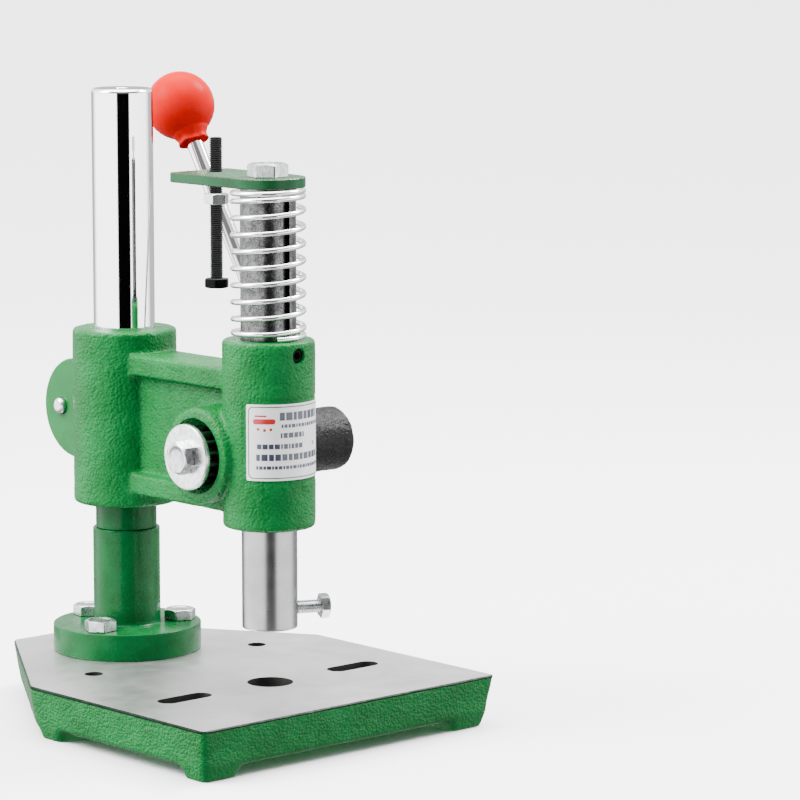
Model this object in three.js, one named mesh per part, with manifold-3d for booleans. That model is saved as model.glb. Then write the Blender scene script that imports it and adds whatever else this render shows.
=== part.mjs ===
// Snap setting press: a small hand arbor press. Millimetres, +Z up.
// The origin lies on the surface that the press stands on, below the middle of the base.
// The operator stands at -Y and pulls the lever, which is on the +X side.
import * as THREE from 'three';
import { mergeVertices } from 'three/addons/utils/BufferGeometryUtils.js';
import Module from 'manifold-3d';

const wasm = await Module();
wasm.setup();

// ---------- driving dimensions ----------

const REST_GAP = 0.1; // between flat faces that rest on each other
const FIT_GAP = 0.3; // around shanks, shafts and the column
const SLOT_OVERRUN = 5; // how far a cutting tool runs past a face
const ROUND_SEGMENTS = 40;
const SMALL_SEGMENTS = 16;

// base
const BASE_WIDTH = 220;
const BASE_LENGTH = 270;
const BASE_SIDE_LENGTH = 157; // straight sides, from the front edge
const BASE_REAR_WIDTH = 76;
const BASE_CORNER_RADIUS = 2.5;
const BASE_DRAFT = 3; // how far the bottom outline is drawn in
const BASE_TOP_BEVEL = 0.8;
const FOOT_HEIGHT = 6;
const BASE_TOP = 30;
const POCKET_ROOF = 17;
const POCKET_WALL = 14;
const POCKET_RIB = 16;
const POCKET_CROSS_RIB = 28;
const POCKET_HOLE_BOSS = 24; // radius
const COLUMN_PAD_RADIUS = 52;
const FOOT_X = 27;
const FOOT_Y = 22;
const MIDDLE_FOOT_Y = 10; // its middle, just short of where the sides turn in
const WORK_HOLE_RADIUS = 13.3;
const WORK_SLOT_LENGTH = 36;
const WORK_SLOT_WIDTH = 13;
const WORK_SLOT_X = 63.4;
const SMALL_HOLE_RADIUS = 5.5;
const SMALL_HOLE_X = 62;
const SMALL_HOLE_Y = 24;

// column and its flange
const RAM_Y = -61.7;
const THROAT = 132.7; // ram axis to column axis
const COLUMN_Y = RAM_Y + THROAT;
const COLUMN_RADIUS = 18.2;
const COLUMN_TOP = 366.3;
const COLUMN_SPIGOT_RADIUS = 14;
const FLANGE_RADIUS = 44.3;
const FLANGE_THICKNESS = 16.1;
const SOCKET_RADIUS = 20;
const SOCKET_TOP = 104.1;
const FLANGE_BOLT_CIRCLE = 32;
const FLANGE_BOLT_ANGLES = [98, 202, 330];
const SOCKET_SCREW_Z = 72;

// arm casting
const COLUMN_CASING_RADIUS = 30.7;
const COLUMN_CASING_BOTTOM = 120;
const COLUMN_CASING_TOP = 224;
const RAM_CASING_RADIUS = 26.4;
const RAM_CASING_BOTTOM = 121.8;
const RAM_CASING_TOP = 229.4;
const CASING_EDGE_RADIUS = 4;
const WEB_HALF_THICKNESS = 10.5;
const RIB_HALF_WIDTH = 17;
const RIB_HEIGHT = 12.5;
const WEB_BOTTOM = 128.5;
const WEB_TOP = 211.5;
const EAR_RADIUS = 30;
const EAR_REACH = 63.5; // behind the column axis
const EAR_Z = 173;
const EAR_HALF_WIDTH = 12;
const CLAMP_SLIT = 3.5;
const CLAMP_BOLT_Y = COLUMN_Y + 47;
const CLAMP_WASHER = { radius: 10, thickness: 2 };
const CLAMP_BOLT_END = 3.5; // what its plain end stands out of the far ear

// pinion, hub and lever
const PINION_MODULE = 2;
const PINION_TEETH = 15;
const PINION_PITCH_RADIUS = PINION_MODULE * PINION_TEETH / 2;
const PINION_Y = RAM_Y + 28;
const PINION_Z = 162;
const BOSS_RADIUS = 27.5;
const BOSS_X = 32;
const BOSS_MOUTH_RADIUS = 22;
const BOSS_MOUTH_DEPTH = 3.5;
const PINION_LEFT = -36;
const PINION_RIGHT = 33;
const PINION_STUB_RADIUS = 12;
const PINION_STUB_END = 46;
const HUB_RADIUS = 19;
const HUB_RIGHT = 75;
const HUB_PIN_X = 40;
const HUB_PIN_RADIUS = 2.5;
const LEVER_X = 55;
const LEVER_LEAN = 31.8; // degrees back from upright
const LEVER_LENGTH = 224.3; // pinion axis to the ball's centre
const LEVER_ROD_RADIUS = 5;
const LEVER_ROD_FOOT = 12; // how far the rod goes past the hub's axis
const BALL_RADIUS = 20.7;
const BALL_BORE_DEPTH = 8; // past the ball's centre, towards the hub

// ram and what it carries
const RAM_RADIUS = 16;
const RAM_BOTTOM = 62.4;
const PLATE_BOTTOM = 316;
const PLATE_THICKNESS = 6;
const PLATE_HALF_WIDTH = 21.5;
const PLATE_REACH = 62;
const RAM_TOP = PLATE_BOTTOM;
const SHANK_BORE_RADIUS = 8;
const SHANK_BORE_DEPTH = 30;
const RACK_ADDENDUM = 1.7;
const RACK_DEDENDUM = 2.3;
const RACK_BACKLASH = 0.3;
const RACK_BOTTOM = 133;
const RACK_TOP = 238;
const KEYWAY_WIDTH = 5;
const KEYWAY_DEPTH = 3;
const KEYWAY_BOTTOM = 217;
const GUIDE_SCREW_Z = 222;
const SHANK_SCREW_Z = 73;
const SHANK_SCREW_ANGLE = 65; // degrees from the front towards +X
const SHANK_SCREW_REACH = 35; // ram axis to the end of its head
const STOP_BOLT_Y = RAM_Y + 46;
const STOP_BOLT_BOTTOM = 255;
const STOP_BOLT_TOP = 342;
const LOCK_NUT_BOTTOM = 303.3;
const LOCK_NUT_HEIGHT = 6.3;
const SPRING_MEAN_RADIUS = 20.2;
const SPRING_WIRE_RADIUS = 1.55;
const SPRING_TURNS = 10.2;
const SPRING_CLOSED_TURNS = 1;
const SPRING_START_ANGLE = -116.5; // where the wire's lower end lies round the ram, in degrees from +X

// label
const LABEL_BOTTOM = 151.7;
const LABEL_TOP = 195.3;
const LABEL_LEFT = -69; // degrees from the front towards +X
const LABEL_RIGHT = 51;
const LABEL_THICKNESS = 0.3;

// hexagon fasteners: shank radius, width across flats, head height
const M8 = { radius: 4, flats: 13, head: 5.3 };
const M10 = { radius: 5, flats: 17, head: 6.4 };
const TOP_BOLT = { radius: 6, flats: 20.8, head: 7.6 }; // its head lies between two standard sizes

// ---------- materials ----------

function finish(color, roughness, metalness) {
  return { color, roughness, metalness };
}

const GREEN_CAST = finish(0x2f8a4c, 0.45, 0.1);
const GREEN_PAINT = finish(0x2b7f45, 0.35, 0.1);
const CHROME = finish(0xe8e8e8, 0.08, 1);
const GROUND_STEEL = finish(0xa5a6a6, 0.35, 1);
const ZINC = finish(0xcdd0d2, 0.25, 1);
const BLACK_OXIDE = finish(0x1b1b1d, 0.45, 0.7);
const BLACK_IRON = finish(0x242424, 0.6, 0.5);
const RED_PLASTIC = finish(0xe02516, 0.3, 0);
const LABEL_FILM = finish(0xf2f2f2, 0.4, 0);

// ---------- solids ----------

function solidOf(geometry) {
  const bare = geometry.clone();
  bare.deleteAttribute('normal');
  bare.deleteAttribute('uv');
  const merged = mergeVertices(bare, 1e-4);
  const index = merged.index.array;
  const triangles = [];
  for (let i = 0; i < index.length; i += 3) {
    const [a, b, c] = [index[i], index[i + 1], index[i + 2]];
    if (a !== b && b !== c && c !== a) {
      triangles.push(a, b, c);
    }
  }
  return new wasm.Manifold(new wasm.Mesh({
    numProp: 3,
    vertProperties: new Float32Array(merged.attributes.position.array),
    triVerts: new Uint32Array(triangles),
  }));
}

function geometryOf(solid) {
  const mesh = solid.getMesh();
  const geometry = new THREE.BufferGeometry();
  geometry.setAttribute('position', new THREE.BufferAttribute(new Float32Array(mesh.vertProperties), 3));
  geometry.setIndex(new THREE.BufferAttribute(new Uint32Array(mesh.triVerts), 1));
  geometry.computeVertexNormals();
  return geometry;
}

function joined(...solids) {
  return solids.reduce((whole, solid) => whole.add(solid));
}

function cut(solid, ...tools) {
  return tools.reduce((whole, tool) => whole.subtract(tool), solid);
}

// a turned solid about +Z; profile points are [radius, z]
function turned(profile, segments = ROUND_SEGMENTS) {
  const points = profile.map(([r, z]) => new THREE.Vector2(r, z));
  return new THREE.LatheGeometry(points, segments).rotateX(Math.PI / 2);
}

function rod(radius, z0, z1, segments = ROUND_SEGMENTS, chamfer = 0) {
  const inner = radius - chamfer;
  const profile = chamfer > 0
    ? [[0, z0], [inner, z0], [radius, z0 + chamfer], [radius, z1 - chamfer], [inner, z1], [0, z1]]
    : [[0, z0], [radius, z0], [radius, z1], [0, z1]];
  return turned(profile, segments);
}

// the hole that clears a pin or a bolt of this radius
function hole(radius, z0, z1) {
  return rod(radius + FIT_GAP, z0, z1, SMALL_SEGMENTS);
}

function block(x0, x1, y0, y1, z0, z1) {
  return new THREE.BoxGeometry(x1 - x0, y1 - y0, z1 - z0)
    .translate((x0 + x1) / 2, (y0 + y1) / 2, (z0 + z1) / 2);
}

function slab(shape, z0, z1, curveSegments = 12) {
  return new THREE.ExtrudeGeometry(shape, { depth: z1 - z0, bevelEnabled: false, curveSegments })
    .translate(0, 0, z0);
}

// turns a +Z solid to lie along +X
function alongX(geometry) {
  return geometry.rotateY(Math.PI / 2);
}

function hexagon(flats) {
  const corner = flats / Math.sqrt(3);
  const shape = new THREE.Shape();
  for (let i = 0; i < 6; i += 1) {
    const angle = i * Math.PI / 3;
    const x = corner * Math.cos(angle);
    const y = corner * Math.sin(angle);
    if (i === 0) {
      shape.moveTo(x, y);
    } else {
      shape.lineTo(x, y);
    }
  }
  shape.closePath();
  return shape;
}

// a hexagon of the given height with its corners chamfered at the top, or at both ends
function hexSolid(flats, z0, z1, bothEnds) {
  const corner = flats / Math.sqrt(3);
  const inner = flats / 2 * 0.96;
  const drop = (corner - inner) * 0.5;
  const bottom = bothEnds ? [[inner, z0], [corner + 0.1, z0 + drop]] : [[corner + 0.1, z0]];
  const envelope = turned([[0, z0], ...bottom, [corner + 0.1, z1 - drop], [inner, z1], [0, z1]], 24);
  return solidOf(slab(hexagon(flats), z0, z1)).intersect(solidOf(envelope));
}

// a hexagon bolt pointing down -Z, with the underside of its head at z = 0
function hexBolt(size, length) {
  return joined(
    solidOf(rod(size.radius, -length, 0.2, SMALL_SEGMENTS, 0.8)),
    hexSolid(size.flats, 0, size.head, false),
  );
}

function outline(corners, radius) {
  const shape = new THREE.Shape();
  const count = corners.length;
  corners.forEach((corner, i) => {
    const before = corners[(i + count - 1) % count];
    const after = corners[(i + 1) % count];
    const enter = new THREE.Vector2().subVectors(before, corner).setLength(radius).add(corner);
    const leave = new THREE.Vector2().subVectors(after, corner).setLength(radius).add(corner);
    if (i === 0) {
      shape.moveTo(enter.x, enter.y);
    } else {
      shape.lineTo(enter.x, enter.y);
    }
    shape.quadraticCurveTo(corner.x, corner.y, leave.x, leave.y);
  });
  shape.closePath();
  return shape;
}

// ---------- assembly ----------

const press = new THREE.Group();
press.name = 'snap_setting_press';

function add(name, geometry, look, parent = press) {
  const mesh = new THREE.Mesh(geometry, new THREE.MeshStandardMaterial(look));
  mesh.name = name;
  parent.add(mesh);
  return mesh;
}

function addSolid(name, solid, look, parent = press) {
  return add(name, geometryOf(solid), look, parent);
}

// ---------- base ----------

function baseOutline(inset) {
  const side = BASE_WIDTH / 2 - inset;
  const front = -BASE_LENGTH / 2 + inset;
  const rear = BASE_LENGTH / 2 - inset;
  const shoulder = -BASE_LENGTH / 2 + BASE_SIDE_LENGTH;
  const rearSide = BASE_REAR_WIDTH / 2 - inset * 0.6;
  const corners = [
    [-side, front], [side, front], [side, shoulder], [rearSide, rear], [-rearSide, rear], [-side, shoulder],
  ].map(([x, y]) => new THREE.Vector2(x, y));
  return outline(corners, BASE_CORNER_RADIUS);
}

// the plate's wall leans in towards the bottom and its top edge is bevelled
function basePlate() {
  const settings = { depth: 1, steps: 2, bevelEnabled: false, curveSegments: 3 };
  const geometry = new THREE.ExtrudeGeometry(baseOutline(0), settings);
  const levels = [
    { z: FOOT_HEIGHT, inset: BASE_DRAFT },
    { z: BASE_TOP - BASE_TOP_BEVEL, inset: 0 },
    { z: BASE_TOP, inset: BASE_TOP_BEVEL },
  ];
  const position = geometry.attributes.position;
  for (let i = 0; i < position.count; i += 1) {
    const level = levels[Math.round(position.getZ(i) * 2)];
    const x = position.getX(i) * (1 - level.inset / (BASE_WIDTH / 2));
    const y = position.getY(i) * (1 - level.inset / (BASE_LENGTH / 2));
    position.setXYZ(i, x, y, level.z);
  }
  return solidOf(geometry);
}

// the pocket under the plate, with a pad under the column and ribs to the holes
function basePocket() {
  const z0 = FOOT_HEIGHT - SLOT_OVERRUN;
  const rim = solidOf(slab(baseOutline(POCKET_WALL), z0, POCKET_ROOF, 3));
  const pad = solidOf(rod(COLUMN_PAD_RADIUS, 0, BASE_TOP).translate(0, COLUMN_Y, 0));
  const boss = solidOf(rod(POCKET_HOLE_BOSS, 0, BASE_TOP).translate(0, RAM_Y, 0));
  const spine = solidOf(block(-POCKET_RIB / 2, POCKET_RIB / 2, -BASE_LENGTH, BASE_LENGTH, 0, BASE_TOP));
  const halfCross = POCKET_CROSS_RIB / 2;
  const cross = solidOf(block(-BASE_WIDTH, BASE_WIDTH, RAM_Y - halfCross, RAM_Y + halfCross, 0, BASE_TOP));
  const bosses = [-1, 1].map((side) => solidOf(
    rod(SMALL_HOLE_RADIUS * 2, 0, BASE_TOP, SMALL_SEGMENTS).translate(side * SMALL_HOLE_X, SMALL_HOLE_Y, 0),
  ));
  return cut(rim, pad, boss, spine, cross, ...bosses);
}

function feet() {
  const x = BASE_WIDTH / 2 - BASE_DRAFT;
  const y = BASE_LENGTH / 2 - BASE_DRAFT;
  const rearX = BASE_REAR_WIDTH / 2 - BASE_DRAFT;
  const places = [
    [x - FOOT_X, x, -y, -y + FOOT_Y],
    [x - FOOT_X, x, MIDDLE_FOOT_Y - FOOT_Y / 2, MIDDLE_FOOT_Y + FOOT_Y / 2],
    [rearX - FOOT_X, rearX, y - FOOT_Y, y],
  ];
  return places.flatMap(([x0, x1, y0, y1]) => [
    solidOf(block(x0, x1, y0, y1, 0, FOOT_HEIGHT + 1)),
    solidOf(block(-x1, -x0, y0, y1, 0, FOOT_HEIGHT + 1)),
  ]);
}

function roundSlot(length, width) {
  const shape = new THREE.Shape();
  const straight = (length - width) / 2;
  shape.absarc(straight, 0, width / 2, -Math.PI / 2, Math.PI / 2);
  shape.absarc(-straight, 0, width / 2, Math.PI / 2, Math.PI * 1.5);
  shape.closePath();
  return shape;
}

function flangeBoltPlaces() {
  return FLANGE_BOLT_ANGLES.map((degrees) => {
    const angle = THREE.MathUtils.degToRad(degrees);
    return [FLANGE_BOLT_CIRCLE * Math.cos(angle), COLUMN_Y + FLANGE_BOLT_CIRCLE * Math.sin(angle)];
  });
}

function makeBase() {
  const high = BASE_TOP + SLOT_OVERRUN;
  const holes = [solidOf(rod(WORK_HOLE_RADIUS, -SLOT_OVERRUN, high).translate(0, RAM_Y, 0))];
  for (const side of [-1, 1]) {
    const slot = slab(roundSlot(WORK_SLOT_LENGTH, WORK_SLOT_WIDTH), -SLOT_OVERRUN, high, 8);
    holes.push(solidOf(slot.translate(side * WORK_SLOT_X, RAM_Y, 0)));
    const small = rod(SMALL_HOLE_RADIUS, -SLOT_OVERRUN, high, SMALL_SEGMENTS);
    holes.push(solidOf(small.translate(side * SMALL_HOLE_X, SMALL_HOLE_Y, 0)));
  }
  for (const [x, y] of flangeBoltPlaces()) {
    holes.push(solidOf(rod(M10.radius + FIT_GAP, 13, high, SMALL_SEGMENTS).translate(x, y, 0)));
  }
  addSolid('base_plate', cut(joined(basePlate(), ...feet()), basePocket(), ...holes), GREEN_CAST);
}

// ---------- column ----------

function makeFlange() {
  const bottom = BASE_TOP + REST_GAP;
  const top = BASE_TOP + FLANGE_THICKNESS;
  const bore = COLUMN_SPIGOT_RADIUS + FIT_GAP;
  const body = solidOf(turned([
    [bore, bottom], [FLANGE_RADIUS - 0.8, bottom], [FLANGE_RADIUS, bottom + 0.8],
    [FLANGE_RADIUS, top - 0.8], [FLANGE_RADIUS - 0.8, top], [SOCKET_RADIUS + 2, top],
    [SOCKET_RADIUS, top + 2], [SOCKET_RADIUS, SOCKET_TOP - 0.8], [SOCKET_RADIUS - 0.8, SOCKET_TOP],
    [bore, SOCKET_TOP], [bore, bottom],
  ]).translate(0, COLUMN_Y, 0));
  const holes = flangeBoltPlaces().map(([x, y]) => solidOf(
    rod(M10.radius + FIT_GAP, BASE_TOP - 1, top + 1, SMALL_SEGMENTS).translate(x, y, 0),
  ));
  const screwHole = solidOf(rod(M8.radius + FIT_GAP, 0, SOCKET_RADIUS + 1, SMALL_SEGMENTS)
    .rotateX(-Math.PI / 2).translate(0, COLUMN_Y, SOCKET_SCREW_Z));
  addSolid('column_flange', cut(body, ...holes, screwHole), GREEN_PAINT);
  const boltTurns = [20, 8, 35]; // degrees that each head was left at
  flangeBoltPlaces().forEach(([x, y], i) => {
    const bolt = add(`flange_bolt_${i + 1}`, geometryOf(hexBolt(M10, 30)), ZINC);
    bolt.position.set(x, y, top + REST_GAP);
    bolt.rotation.z = THREE.MathUtils.degToRad(boltTurns[i]);
  });
}

function makeColumn() {
  const foot = BASE_TOP + 2;
  const shoulder = SOCKET_TOP + REST_GAP;
  const body = turned([
    [0, foot], [COLUMN_SPIGOT_RADIUS - 1, foot], [COLUMN_SPIGOT_RADIUS, foot + 1],
    [COLUMN_SPIGOT_RADIUS, shoulder], [COLUMN_RADIUS, shoulder], [COLUMN_RADIUS, COLUMN_TOP - 1.5],
    [COLUMN_RADIUS - 1.5, COLUMN_TOP], [0, COLUMN_TOP],
  ]);
  add('column', body.translate(0, COLUMN_Y, 0), CHROME);
  const tip = COLUMN_SPIGOT_RADIUS + FIT_GAP;
  const screw = cut(
    solidOf(rod(M8.radius, tip, SOCKET_RADIUS - 0.4, SMALL_SEGMENTS, 0.4)),
    solidOf(slab(hexagon(4), tip + 2.4, SOCKET_RADIUS)),
  );
  const placed = geometryOf(screw).rotateX(-Math.PI / 2).translate(0, COLUMN_Y, SOCKET_SCREW_Z);
  add('socket_set_screw', placed, BLACK_OXIDE);
}

// ---------- arm ----------

function casing(radius, bottom, top) {
  const e = CASING_EDGE_RADIUS;
  const steps = 3;
  const profile = [[0, bottom]];
  for (let i = 0; i <= steps; i += 1) {
    const angle = i / steps * Math.PI / 2;
    profile.push([radius - e + e * Math.sin(angle), bottom + e - e * Math.cos(angle)]);
  }
  for (let i = 0; i <= steps; i += 1) {
    const angle = i / steps * Math.PI / 2;
    profile.push([radius - e + e * Math.cos(angle), top - e + e * Math.sin(angle)]);
  }
  profile.push([0, top]);
  return turned(profile);
}

function clampEars() {
  const shape = new THREE.Shape();
  const centre = COLUMN_Y + EAR_REACH - EAR_RADIUS;
  shape.moveTo(COLUMN_Y, EAR_Z - EAR_RADIUS);
  shape.lineTo(centre, EAR_Z - EAR_RADIUS);
  shape.absarc(centre, EAR_Z, EAR_RADIUS, -Math.PI / 2, Math.PI / 2);
  shape.lineTo(COLUMN_Y, EAR_Z + EAR_RADIUS);
  shape.closePath();
  return solidOf(slab(shape, -EAR_HALF_WIDTH, EAR_HALF_WIDTH).applyMatrix4(sideways()));
}

// takes a drawing's x, y and depth to the press's Y, Z and X
function sideways() {
  return new THREE.Matrix4().makeBasis(
    new THREE.Vector3(0, 1, 0),
    new THREE.Vector3(0, 0, 1),
    new THREE.Vector3(1, 0, 0),
  );
}

function web() {
  const plate = block(-WEB_HALF_THICKNESS, WEB_HALF_THICKNESS, RAM_Y, COLUMN_Y, WEB_BOTTOM, WEB_TOP);
  const upper = block(-RIB_HALF_WIDTH, RIB_HALF_WIDTH, RAM_Y, COLUMN_Y, WEB_TOP - RIB_HEIGHT, WEB_TOP);
  const lower = block(-RIB_HALF_WIDTH, RIB_HALF_WIDTH, RAM_Y, COLUMN_Y, WEB_BOTTOM, WEB_BOTTOM + RIB_HEIGHT);
  return [plate, upper, lower].map(solidOf);
}

function pinionBoss() {
  const e = 2.5;
  return solidOf(alongX(turned([
    [0, -BOSS_X], [BOSS_RADIUS - e, -BOSS_X], [BOSS_RADIUS, -BOSS_X + e], [BOSS_RADIUS, BOSS_X - e],
    [BOSS_RADIUS - e, BOSS_X], [0, BOSS_X],
  ])).translate(0, PINION_Y, PINION_Z));
}

function pinionBore() {
  const r = PINION_PITCH_RADIUS + PINION_MODULE + FIT_GAP;
  const mouth = -BOSS_X + BOSS_MOUTH_DEPTH;
  return solidOf(alongX(turned([
    [0, -BOSS_X - 1], [BOSS_MOUTH_RADIUS + 1, -BOSS_X - 1], [r, mouth], [r, BOSS_X + 1], [0, BOSS_X + 1],
  ])).translate(0, PINION_Y, PINION_Z));
}

function makeArm() {
  const columnCasing = solidOf(casing(COLUMN_CASING_RADIUS, COLUMN_CASING_BOTTOM, COLUMN_CASING_TOP)
    .translate(0, COLUMN_Y, 0));
  const ramCasing = solidOf(casing(RAM_CASING_RADIUS, RAM_CASING_BOTTOM, RAM_CASING_TOP)
    .translate(0, RAM_Y, 0));
  const body = joined(columnCasing, ramCasing, ...web(), pinionBoss(), clampEars());
  const high = RAM_CASING_TOP + SLOT_OVERRUN;
  const low = COLUMN_CASING_BOTTOM - SLOT_OVERRUN;
  const columnBore = solidOf(rod(COLUMN_RADIUS + FIT_GAP, low, high).translate(0, COLUMN_Y, 0));
  const ramBore = solidOf(rod(RAM_RADIUS + FIT_GAP, low, high).translate(0, RAM_Y, 0));
  const slit = solidOf(block(-CLAMP_SLIT / 2, CLAMP_SLIT / 2, COLUMN_Y, COLUMN_Y + EAR_REACH + 5, low, high));
  const boltHole = solidOf(alongX(hole(M10.radius, -EAR_HALF_WIDTH - 1, EAR_HALF_WIDTH + 1))
    .translate(0, CLAMP_BOLT_Y, EAR_Z));
  const screwHole = solidOf(hole(M8.radius, 0, RAM_CASING_RADIUS + 1)
    .rotateX(Math.PI / 2).translate(0, RAM_Y, GUIDE_SCREW_Z));
  const casting = cut(body, columnBore, ramBore, slit, boltHole, screwHole, pinionBore());
  addSolid('arm_casting', casting, GREEN_CAST);
}

function makeClampBolt() {
  const face = EAR_HALF_WIDTH + REST_GAP;
  const bore = M10.radius + FIT_GAP;
  const { radius, thickness } = CLAMP_WASHER;
  const ring = [[bore, 0], [radius, 0], [radius, thickness], [bore, thickness], [bore, 0]];
  add('clamp_washer', alongX(turned(ring, SMALL_SEGMENTS)).translate(face, CLAMP_BOLT_Y, EAR_Z), ZINC);
  const bolt = geometryOf(hexBolt(M10, 2 * EAR_HALF_WIDTH + thickness + CLAMP_BOLT_END));
  add('clamp_bolt', alongX(bolt).translate(face + thickness + REST_GAP, CLAMP_BOLT_Y, EAR_Z), ZINC);
}

function makeLabel() {
  const inner = RAM_CASING_RADIUS + REST_GAP;
  const outer = inner + LABEL_THICKNESS;
  const start = THREE.MathUtils.degToRad(LABEL_LEFT - 90);
  const end = THREE.MathUtils.degToRad(LABEL_RIGHT - 90);
  const shape = new THREE.Shape();
  shape.absarc(0, 0, outer, start, end, false);
  shape.absarc(0, 0, inner, end, start, true);
  shape.closePath();
  add('spec_label', slab(shape, LABEL_BOTTOM, LABEL_TOP, 24).translate(0, RAM_Y, 0), LABEL_FILM);
}

// the dog-point screw that rides in the ram's keyway
function makeGuideScrew() {
  const outer = RAM_CASING_RADIUS - 0.6;
  const shoulder = RAM_RADIUS + 0.7;
  const tip = RAM_RADIUS - KEYWAY_DEPTH + 0.6;
  const body = solidOf(turned([
    [0, tip], [KEYWAY_WIDTH / 2 - 0.4, tip], [KEYWAY_WIDTH / 2 - 0.4, shoulder], [M8.radius, shoulder + 0.5],
    [M8.radius, outer - 0.5], [M8.radius - 0.5, outer], [0, outer],
  ], SMALL_SEGMENTS));
  const socket = solidOf(slab(hexagon(4), outer - 4, outer + 1));
  const screw = geometryOf(cut(body, socket)).rotateX(Math.PI / 2);
  add('ram_guide_screw', screw.translate(0, RAM_Y, GUIDE_SCREW_Z), BLACK_OXIDE);
}

// ---------- pinion, hub and lever ----------

function involutePoint(baseRadius, radius) {
  const roll = Math.sqrt((radius / baseRadius) ** 2 - 1);
  return roll - Math.atan(roll);
}

// one tooth gap lies towards angle 0
function gearShape() {
  const pressure = THREE.MathUtils.degToRad(20);
  const base = PINION_PITCH_RADIUS * Math.cos(pressure);
  const tip = PINION_PITCH_RADIUS + PINION_MODULE;
  const root = PINION_PITCH_RADIUS - 1.25 * PINION_MODULE;
  const pitchAngle = 2 * Math.PI / PINION_TEETH;
  const thinning = RACK_BACKLASH / 2 / PINION_PITCH_RADIUS;
  const halfTooth = pitchAngle / 4 - thinning + Math.tan(pressure) - pressure;
  const radii = [base, PINION_PITCH_RADIUS, PINION_PITCH_RADIUS + PINION_MODULE / 2, tip];
  const flank = radii.map((r) => [r, halfTooth - involutePoint(base, r)]);
  flank.unshift([root, halfTooth + 0.02]);
  const shape = new THREE.Shape();
  for (let tooth = 0; tooth < PINION_TEETH; tooth += 1) {
    const centre = (tooth + 0.5) * pitchAngle;
    const rising = flank.map(([r, half]) => [r, centre - half]);
    const falling = flank.map(([r, half]) => [r, centre + half]).reverse();
    for (const [r, angle] of [...rising, ...falling]) {
      const x = r * Math.cos(angle);
      const y = r * Math.sin(angle);
      if (shape.curves.length === 0 && tooth === 0 && r === root && angle < centre) {
        shape.moveTo(x, y);
      } else {
        shape.lineTo(x, y);
      }
    }
  }
  shape.closePath();
  return shape;
}

function makePinion() {
  const toRam = new THREE.Matrix4().makeBasis(
    new THREE.Vector3(0, -1, 0),
    new THREE.Vector3(0, 0, -1),
    new THREE.Vector3(1, 0, 0),
  );
  const teeth = solidOf(slab(gearShape(), PINION_LEFT, PINION_RIGHT).applyMatrix4(toRam));
  const stub = solidOf(alongX(rod(PINION_STUB_RADIUS, PINION_RIGHT - 1, PINION_STUB_END)));
  const tapped = solidOf(alongX(hole(M10.radius, PINION_LEFT - 1, PINION_LEFT + 24)));
  const pinHole = solidOf(hole(HUB_PIN_RADIUS, -HUB_RADIUS, HUB_RADIUS).translate(HUB_PIN_X, 0, 0));
  const shaft = geometryOf(cut(joined(teeth, stub), tapped, pinHole));
  add('pinion_shaft', shaft.translate(0, PINION_Y, PINION_Z), GROUND_STEEL);
}

function makePinionWasher() {
  const thickness = 3.2;
  const bore = M10.radius + FIT_GAP;
  const ring = turned([
    [bore, 0], [18.7, 0], [19, 0.3], [19, thickness - 0.5], [18.5, thickness], [bore, thickness], [bore, 0],
  ]);
  const face = PINION_LEFT - REST_GAP;
  add('pinion_washer', ring.rotateY(-Math.PI / 2).translate(face, PINION_Y, PINION_Z), ZINC);
  const bolt = geometryOf(hexBolt(M10, 24)).rotateZ(THREE.MathUtils.degToRad(12)).rotateY(-Math.PI / 2);
  add('pinion_bolt', bolt.translate(face - thickness - REST_GAP, PINION_Y, PINION_Z), ZINC);
}

// the hub, pin, rod and ball are built upright about the pinion axis, then leaned back
function makeLever() {
  const lever = new THREE.Group();
  lever.position.set(0, PINION_Y, PINION_Z);
  lever.rotation.x = -THREE.MathUtils.degToRad(LEVER_LEAN);
  press.add(lever);

  const left = PINION_RIGHT + REST_GAP;
  const hub = solidOf(alongX(turned([
    [0, left], [HUB_RADIUS - 1, left], [HUB_RADIUS, left + 1], [HUB_RADIUS, HUB_RIGHT - 2],
    [HUB_RADIUS - 2, HUB_RIGHT], [0, HUB_RIGHT],
  ])));
  const stubBore = solidOf(alongX(rod(PINION_STUB_RADIUS + FIT_GAP, left - 1, PINION_STUB_END + FIT_GAP)));
  const rodBore = solidOf(hole(LEVER_ROD_RADIUS, -LEVER_ROD_FOOT - FIT_GAP, HUB_RADIUS + 1)
    .translate(LEVER_X, 0, 0));
  const lean = THREE.MathUtils.degToRad(LEVER_LEAN);
  const pinHole = solidOf(hole(HUB_PIN_RADIUS, -HUB_RADIUS - 1, HUB_RADIUS + 1)
    .translate(HUB_PIN_X, 0, 0).rotateX(lean));
  addSolid('lever_hub', cut(hub, stubBore, rodBore, pinHole), BLACK_IRON, lever);

  const pin = rod(HUB_PIN_RADIUS, -HUB_RADIUS + 0.5, HUB_RADIUS - 0.5, SMALL_SEGMENTS, 0.5)
    .translate(HUB_PIN_X, 0, 0);
  add('hub_pin', pin.rotateX(lean), ZINC, lever);

  const rodTop = LEVER_LENGTH - BALL_BORE_DEPTH;
  const leverRod = rod(LEVER_ROD_RADIUS, -LEVER_ROD_FOOT, rodTop, SMALL_SEGMENTS, 0.8);
  add('lever_rod', leverRod.translate(LEVER_X, 0, 0), CHROME, lever);

  add('ball_knob', ballKnob(rodTop).translate(LEVER_X, 0, LEVER_LENGTH), RED_PLASTIC, lever);
}

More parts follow.
